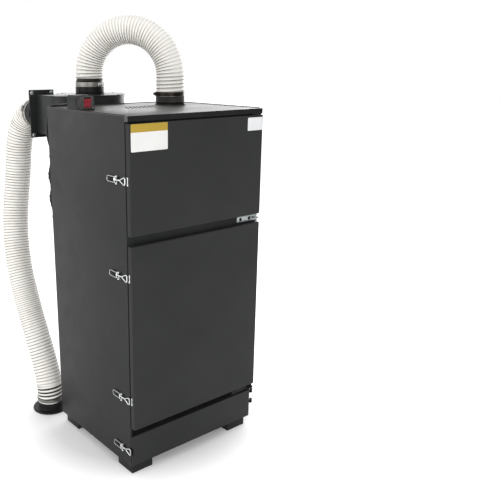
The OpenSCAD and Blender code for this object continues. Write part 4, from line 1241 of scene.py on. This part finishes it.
def makeFlanges(s):
    # two black plates face to face, the round boss of the second and four bolts through both
    low, high = nodeBox("duct_flange")
    wide, tall, t = s["flange"]
    x, _, z = (low + high) / 2
    rim, windowW = roundRect(wide, tall, s["flangeR"]), s["ductW"] - s["windowLess"]
    ductLow, ductHigh = nodeBox("fan_housing")
    window = roundRect(windowW, ductHigh[2] - ductLow[2] - s["windowLess"], 2.0)
    first = placed(frameRing(rim, window, 0, t - 0.15, 0.6), (x, low[1], z), rearward)
    solid("ductFlange", [first], "powderDark", "duct_flange")
    boss, bore = s["boss"], s["boss"] - s["bossWall"]
    length = cornerY + s["bossEnd"] - high[1] - t
    tube = lathe([(bore, 0.1), (boss + 3, 0.1), (boss + 2, 2.4), (boss, 4), (boss, length - 0.8),
                  (boss - 0.8, length), (bore, length)], 96)
    second = frameRing(rim, roundRect(windowW, s["windowH"], 2.0), 0.15, t, 0.6)
    parts = [placed(second, (x, high[1], z), rearward), placed(tube, (x, high[1] + t, z), rearward)]
    solid("outletAdapter", parts, "powderDark", "outlet_adapter")
    aside, up = wide / 2 - s["boltIn"], tall / 2 - s["boltIn"]
    bolts = []
    for y, side, height in ((low[1], -1, s["headT"]), (high[1] + t, 1, s["nutT"])):
        places = [(x + i * aside, y, z + k * up) for i in (-1, 1) for k in (-1, 1)]
        for part in hexBolt(s["head"], height, s["washer"]):
            bolts += studs(part, places, (0, side, 0), 15)
    solid("flangeBolts", bolts, "zinc", "flange_bolts")


motor = {
    "body": 64.0, "bell": 68.0, "bellH": 22.0, "fins": 44, "finR": 72.0, "finT": 1.1, "flangeR": 78.0,
    "flangeT": 8.0, "boltIn": 8.0, "bolts": 4, "boltPhase": 0.785, "bolt": (5.5, 5.0, 6.8),
    "cowlR": 75.0, "cowlScrew": (3.2, 0.3, 1.5, 20), "cowlScrewsDown": 8.0,
    "cowlScrews": (45, 135, 225, 315),
}


def makeMotor(s):
    # a core between two end bells with upright cooling fins, under the flange that carries it; the upper
    # bell widens towards the flange
    low, high = nodeBox("motor")
    tall = high[2] - low[2] - s["flangeT"]
    foot = over("motor", low[2])
    body, bell, bellH = s["body"], s["bell"], s["bellH"]
    core = spun([(bell - 4, 0), (bell, 3), (bell, bellH - 3), (body, bellH), (body, tall - bellH),
                 (bell + 3, tall - bellH + 4), (bell + 4, tall)], 72)
    fin = block((body - 1, -s["finT"], bellH - 2), (s["finR"], s["finT"], tall - bellH + 3))
    parts = [core, rod(s["flangeR"], tall, tall + s["flangeT"], 1.4, 72), *ringOf(fin, s["fins"], 0, 0)]
    solid("motorBody", [placed(p, foot) for p in parts], "motor", "motor")
    bolts = []
    for part in hexBolt(*s["bolt"]):
        hung = placed(part, (0, 0, 0), turned((0, 0, -1)))
        bolts += ringOf(hung, s["bolts"], s["flangeR"] - s["boltIn"], tall, s["boltPhase"])
    solid("motorBolts", [placed(b, foot) for b in bolts], "zinc")
    height = nodeBox("motor_cowl")[1][2] - s["cowlScrewsDown"]
    heads = []
    for angle in np.radians(s["cowlScrews"]):
        out = np.array([math.cos(angle), math.sin(angle), 0])
        heads += studs(dome(*s["cowlScrew"]), [over("motor", height) + out * s["cowlR"]], out)
    solid("cowlScrews", heads, "blackScrew")


terminal = {"lid": 6.0, "inset": 1.2, "screwIn": 7.0, "screw": (2.8, 0.2, 1.1, 20)}
cableRoute = [
    (34, 341, 1262), (34, 356, 1262), (36, 385, 1256), (38, 415, 1249), (36, 447, 1245), (30, 472, 1244),
    (22, 490, 1241), (15, 500, 1228), (12, 504, 1205), (10, 508, 1175), (9, 510, 1143), (11, 506, 1115),
    (14, 500, 1093), (16, 497, 1072), (16, 497, 1050), (14, 500, 1035), (12, 504, 1019), (12, 504, 961),
    (12, 504, 935), (12, 504, 877), (14, 500, 862), (16, 497, 848), (16, 497, 826), (20, 502, 808),
    (34, 514, 796), (60, 532, 796), (96, 556, 816), (130, 582, 856), (150, 604, 904), (164, 618, 948),
    (170, 624, 972), (170, 624, 988),
]
cable = {
    "r": 4.0, "spacing": 5.0, "connectors": (906.0, 990.0), "drop": (12, 504),
    "plug": ((4.3, -29), (5.6, -28.6), (6.4, -20), (7.0, -14), (8.8, -13), (9.0, -12), (9.0, -1),
             (8.4, -0.4), (8.4, 0.4), (9.0, 1), (9.0, 12), (8.8, 13), (7.4, 14), (6.4, 22), (5.4, 28.6),
             (4.3, 29)),
    "rib": (6.2, 9.5, 0.5), "ribs": (-9.5, -7, -4.5, 4.5, 7, 9.5),
}


def makeTerminalBox(s):
    # box, lid with four screws on its left face, and the gland that the cable enters underneath
    low, high = nodeBox("terminal_box")
    lid, near = s["lid"], s["screwIn"]
    shy = np.array([0, s["inset"], s["inset"]])
    parts = [block(low + shy + (lid + 0.4, 0, 0), high - shy, 1.5, 4.0, along=0),
             block(low, (low[0] + lid, high[1], high[2]), 1.4, 5.0, along=0)]
    solid("terminalBox", parts, "motor", "terminal_box")
    places = [(low[0] + 0.1, y, z) for y in (low[1] + near, high[1] - near)
              for z in (low[2] + near, high[2] - near)]
    solid("terminalScrews", studs(dome(*s["screw"]), places, (-1, 0, 0)), "zinc")
    gland = [spun([(5.2, -15), (7.0, -13), (7.4, -9)], 32), hexagon(9.6, -9, 0.5, 0.8, 0.8)]
    solid("cableGland", [placed(p, corner(*cableRoute[-1])) for p in gland], "rubber")


def makeCable(s):
    # round cable clipped to the rear wall, with two tapered in-line connectors and a gland at the switch box
    line, _ = smoothLine([corner(*p) for p in cableRoute], s["spacing"])
    cord = sweep(line, circle(s["r"], 16), (1, 0.3, 0.2))
    solid("motorCable", [cord], "rubber", "motor_cable")
    plug = spun(s["plug"], 36)
    inner, outer, half = s["rib"]
    rib = lathe([(inner, -half), (outer, -half), (outer, half), (inner, half)], 36)
    parts = [placed(plug, corner(*s["drop"], z)) for z in s["connectors"]]
    parts += [placed(rib, corner(*s["drop"], z + up)) for z in s["connectors"] for up in s["ribs"]]
    solid("cableConnectors", parts, "switch")
    gland = [hexagon(9.0, -0.5, 5, 0.8, 0.8), spun([(7.2, 5), (7.2, 8), (5.6, 13)], 32)]
    parts = [placed(p, corner(*cableRoute[0]), rearward) for p in gland]
    solid("switchGland", parts, "rubber")


bracketBolts = {"in": 8.0, "up": (18, 62), "out": 5.0, "bolt": (5.5, 4.6, 6.8)}


def makeBracketBolts(s):
    low, high = nodeBox("fan_bracket")
    columns = low[0] + s["in"], high[0] - s["in"]
    places = [(x, rearY + s["out"], low[2] + z) for x in columns for z in s["up"]]
    bolts = [b for part in hexBolt(*s["bolt"]) for b in studs(part, places, (0, 1, 0), 15)]
    solid("bracketBolts", bolts, "zinc")


makeFan(fan)
makeFlanges(fan)
makeMotor(motor)
makeTerminalBox(terminal)
makeCable(cable)
makeBracketBolts(bracketBolts)
print("fan and motor made")

# ---------- switch

switch = {
    "radius": 7.0, "smallRadius": 2.0, "rear": 4.0, "wall": 2.4, "sunk": 3.2, "shift": 7.0,
    "bezel": (34.0, 40.0), "bezelSpan": (-2.0, 2.4), "plateSpan": (0.6, 3.0), "window": (27.8, 34.2),
    "screws": ((28.0, -17.0), (-26, 14), (-26, -16.5)), "screw": (2.4, 0.4, 1.0, 22),
}
rocker = {
    "wide": 26.6, "half": 14.2, "front": 17.0, "notch": 14.6, "behind": 2.0, "pivot": (41, 291, 1261),
    "tilt": 9.0,
}


def boxOutline(size, pull, s):
    # front view of the box: large corners at the top, small ones at the foot
    big, small = max(s["radius"] - pull, 0.8), max(s["smallRadius"] - pull, 0.5)
    return roundRect(size[0] - 2 * pull, size[2] - 2 * pull, [small, small, big, big], 6)


def makeSwitchBox(s):
    # rings about the Y axis: a lip round the sunk front, the side walls and a rounded rear
    low, high = nodeBox("switch_box")
    size, middle = high - low, (high + low) / 2
    wall, rear, y = s["wall"], s["rear"], low[1]
    rows = [(wall, y + s["sunk"]), (wall, y + 0.5), (wall - 0.5, y), (0.6, y), (0, y + 0.6)]
    turns = np.linspace(0, math.pi / 2, 5)
    rows += [(rear * (1 - math.cos(a)), high[1] - rear * (1 - math.sin(a))) for a in turns]
    part = upright([(boxOutline(size, pull, s), y) for pull, y in rows], middle)
    solid("switchBox", [part], "switch", "switch_box")


def makeBezel(s):
    # front plate with a window, and a raised frame round the window
    low, high = nodeBox("switch_box")
    size, middle = high - low, (high + low) / 2
    origin = (middle[0] + s["shift"], low[1], middle[2])
    plate = boxOutline(size, s["wall"] + 0.1, s) - (s["shift"], 0)
    window = roundRect(*s["window"], 1.5, 6)
    rings = [frameRing(plate, window, *s["plateSpan"]),
             frameRing(roundRect(*s["bezel"], 3.0, 6), window, *s["bezelSpan"], 0.7)]
    solid("switchBezel", [placed(ring, origin, rearward) for ring in rings], "bezel",
          "switch_bezel")
    places = [(middle[0] + dx, low[1] + 0.7, middle[2] + dz) for dx, dz in s["screws"]]
    screws = studs(dome(*s["screw"]), places, (0, -1, 0))
    # the same screws drawn bright zinc at the lower right and black elsewhere: painted highlight and painted
    # shade
    solid("switchLitScrew", screws[:1], "zinc")
    solid("switchShadedScrews", screws[1:], "blackScrew")


def makeRocker(s):
    # side view in Y and Z about the pivot: two faces that meet in a shallow V, a round back, tilted to off
    half, front, behind, wide = s["half"], s["front"], s["behind"], s["wide"] / 2
    corners = [(behind, -half), (behind, half), (-front, half), (-s["notch"], 0), (-front, -half)]
    outline = filleted(corners, [1.0, 1.0, 1.8, 6.0, 1.8], 6)[::-1]
    a = math.radians(s["tilt"])
    tilted = outline @ np.array([[math.cos(a), math.sin(a)], [-math.sin(a), math.cos(a)]])
    part = placed(prism(tilted, -wide, wide, 0.9, 4), corner(*s["pivot"]), [(0, 1, 0), (0, 0, 1), (1, 0, 0)])
    solid("powerRocker", [part], "rocker", "power_rocker", "rocker", angle=50)


makeSwitchBox(switch)
makeBezel(switch)
makeRocker(rocker)
print("switch made")

# ---------- label plates

labels = {
    "large_plate": {"face": ((0.80, 0.80, 0.78), (0.86, 0.86, 0.84)), "band": (0.46, 0.31, 0.035),
                    "bandShare": 0.30},
    "small_plate": {"face": ((0.78, 0.79, 0.80), (0.85, 0.86, 0.87))},
}


def makeLabel(node, s):
    # a thin plate with round corners on the door's face
    low, high = nodeBox(node)
    if "band" in s:
        s = dict(s, bandFrom=high[2] - (high[2] - low[2]) * s["bandShare"])
    looks[node] = labelPaint(short(node), s)
    plate = block(low, high, 0.2, 3.0, along=1)
    solid(short(node) + "Blank", [plate], node, node, "upper_door")


for node, s in labels.items():
    makeLabel(node, s)
print("labels made")

for row, b in (("cad", cadBounds), ("visual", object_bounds())):
    print(row, [round(x, 4) for v in b for x in v])
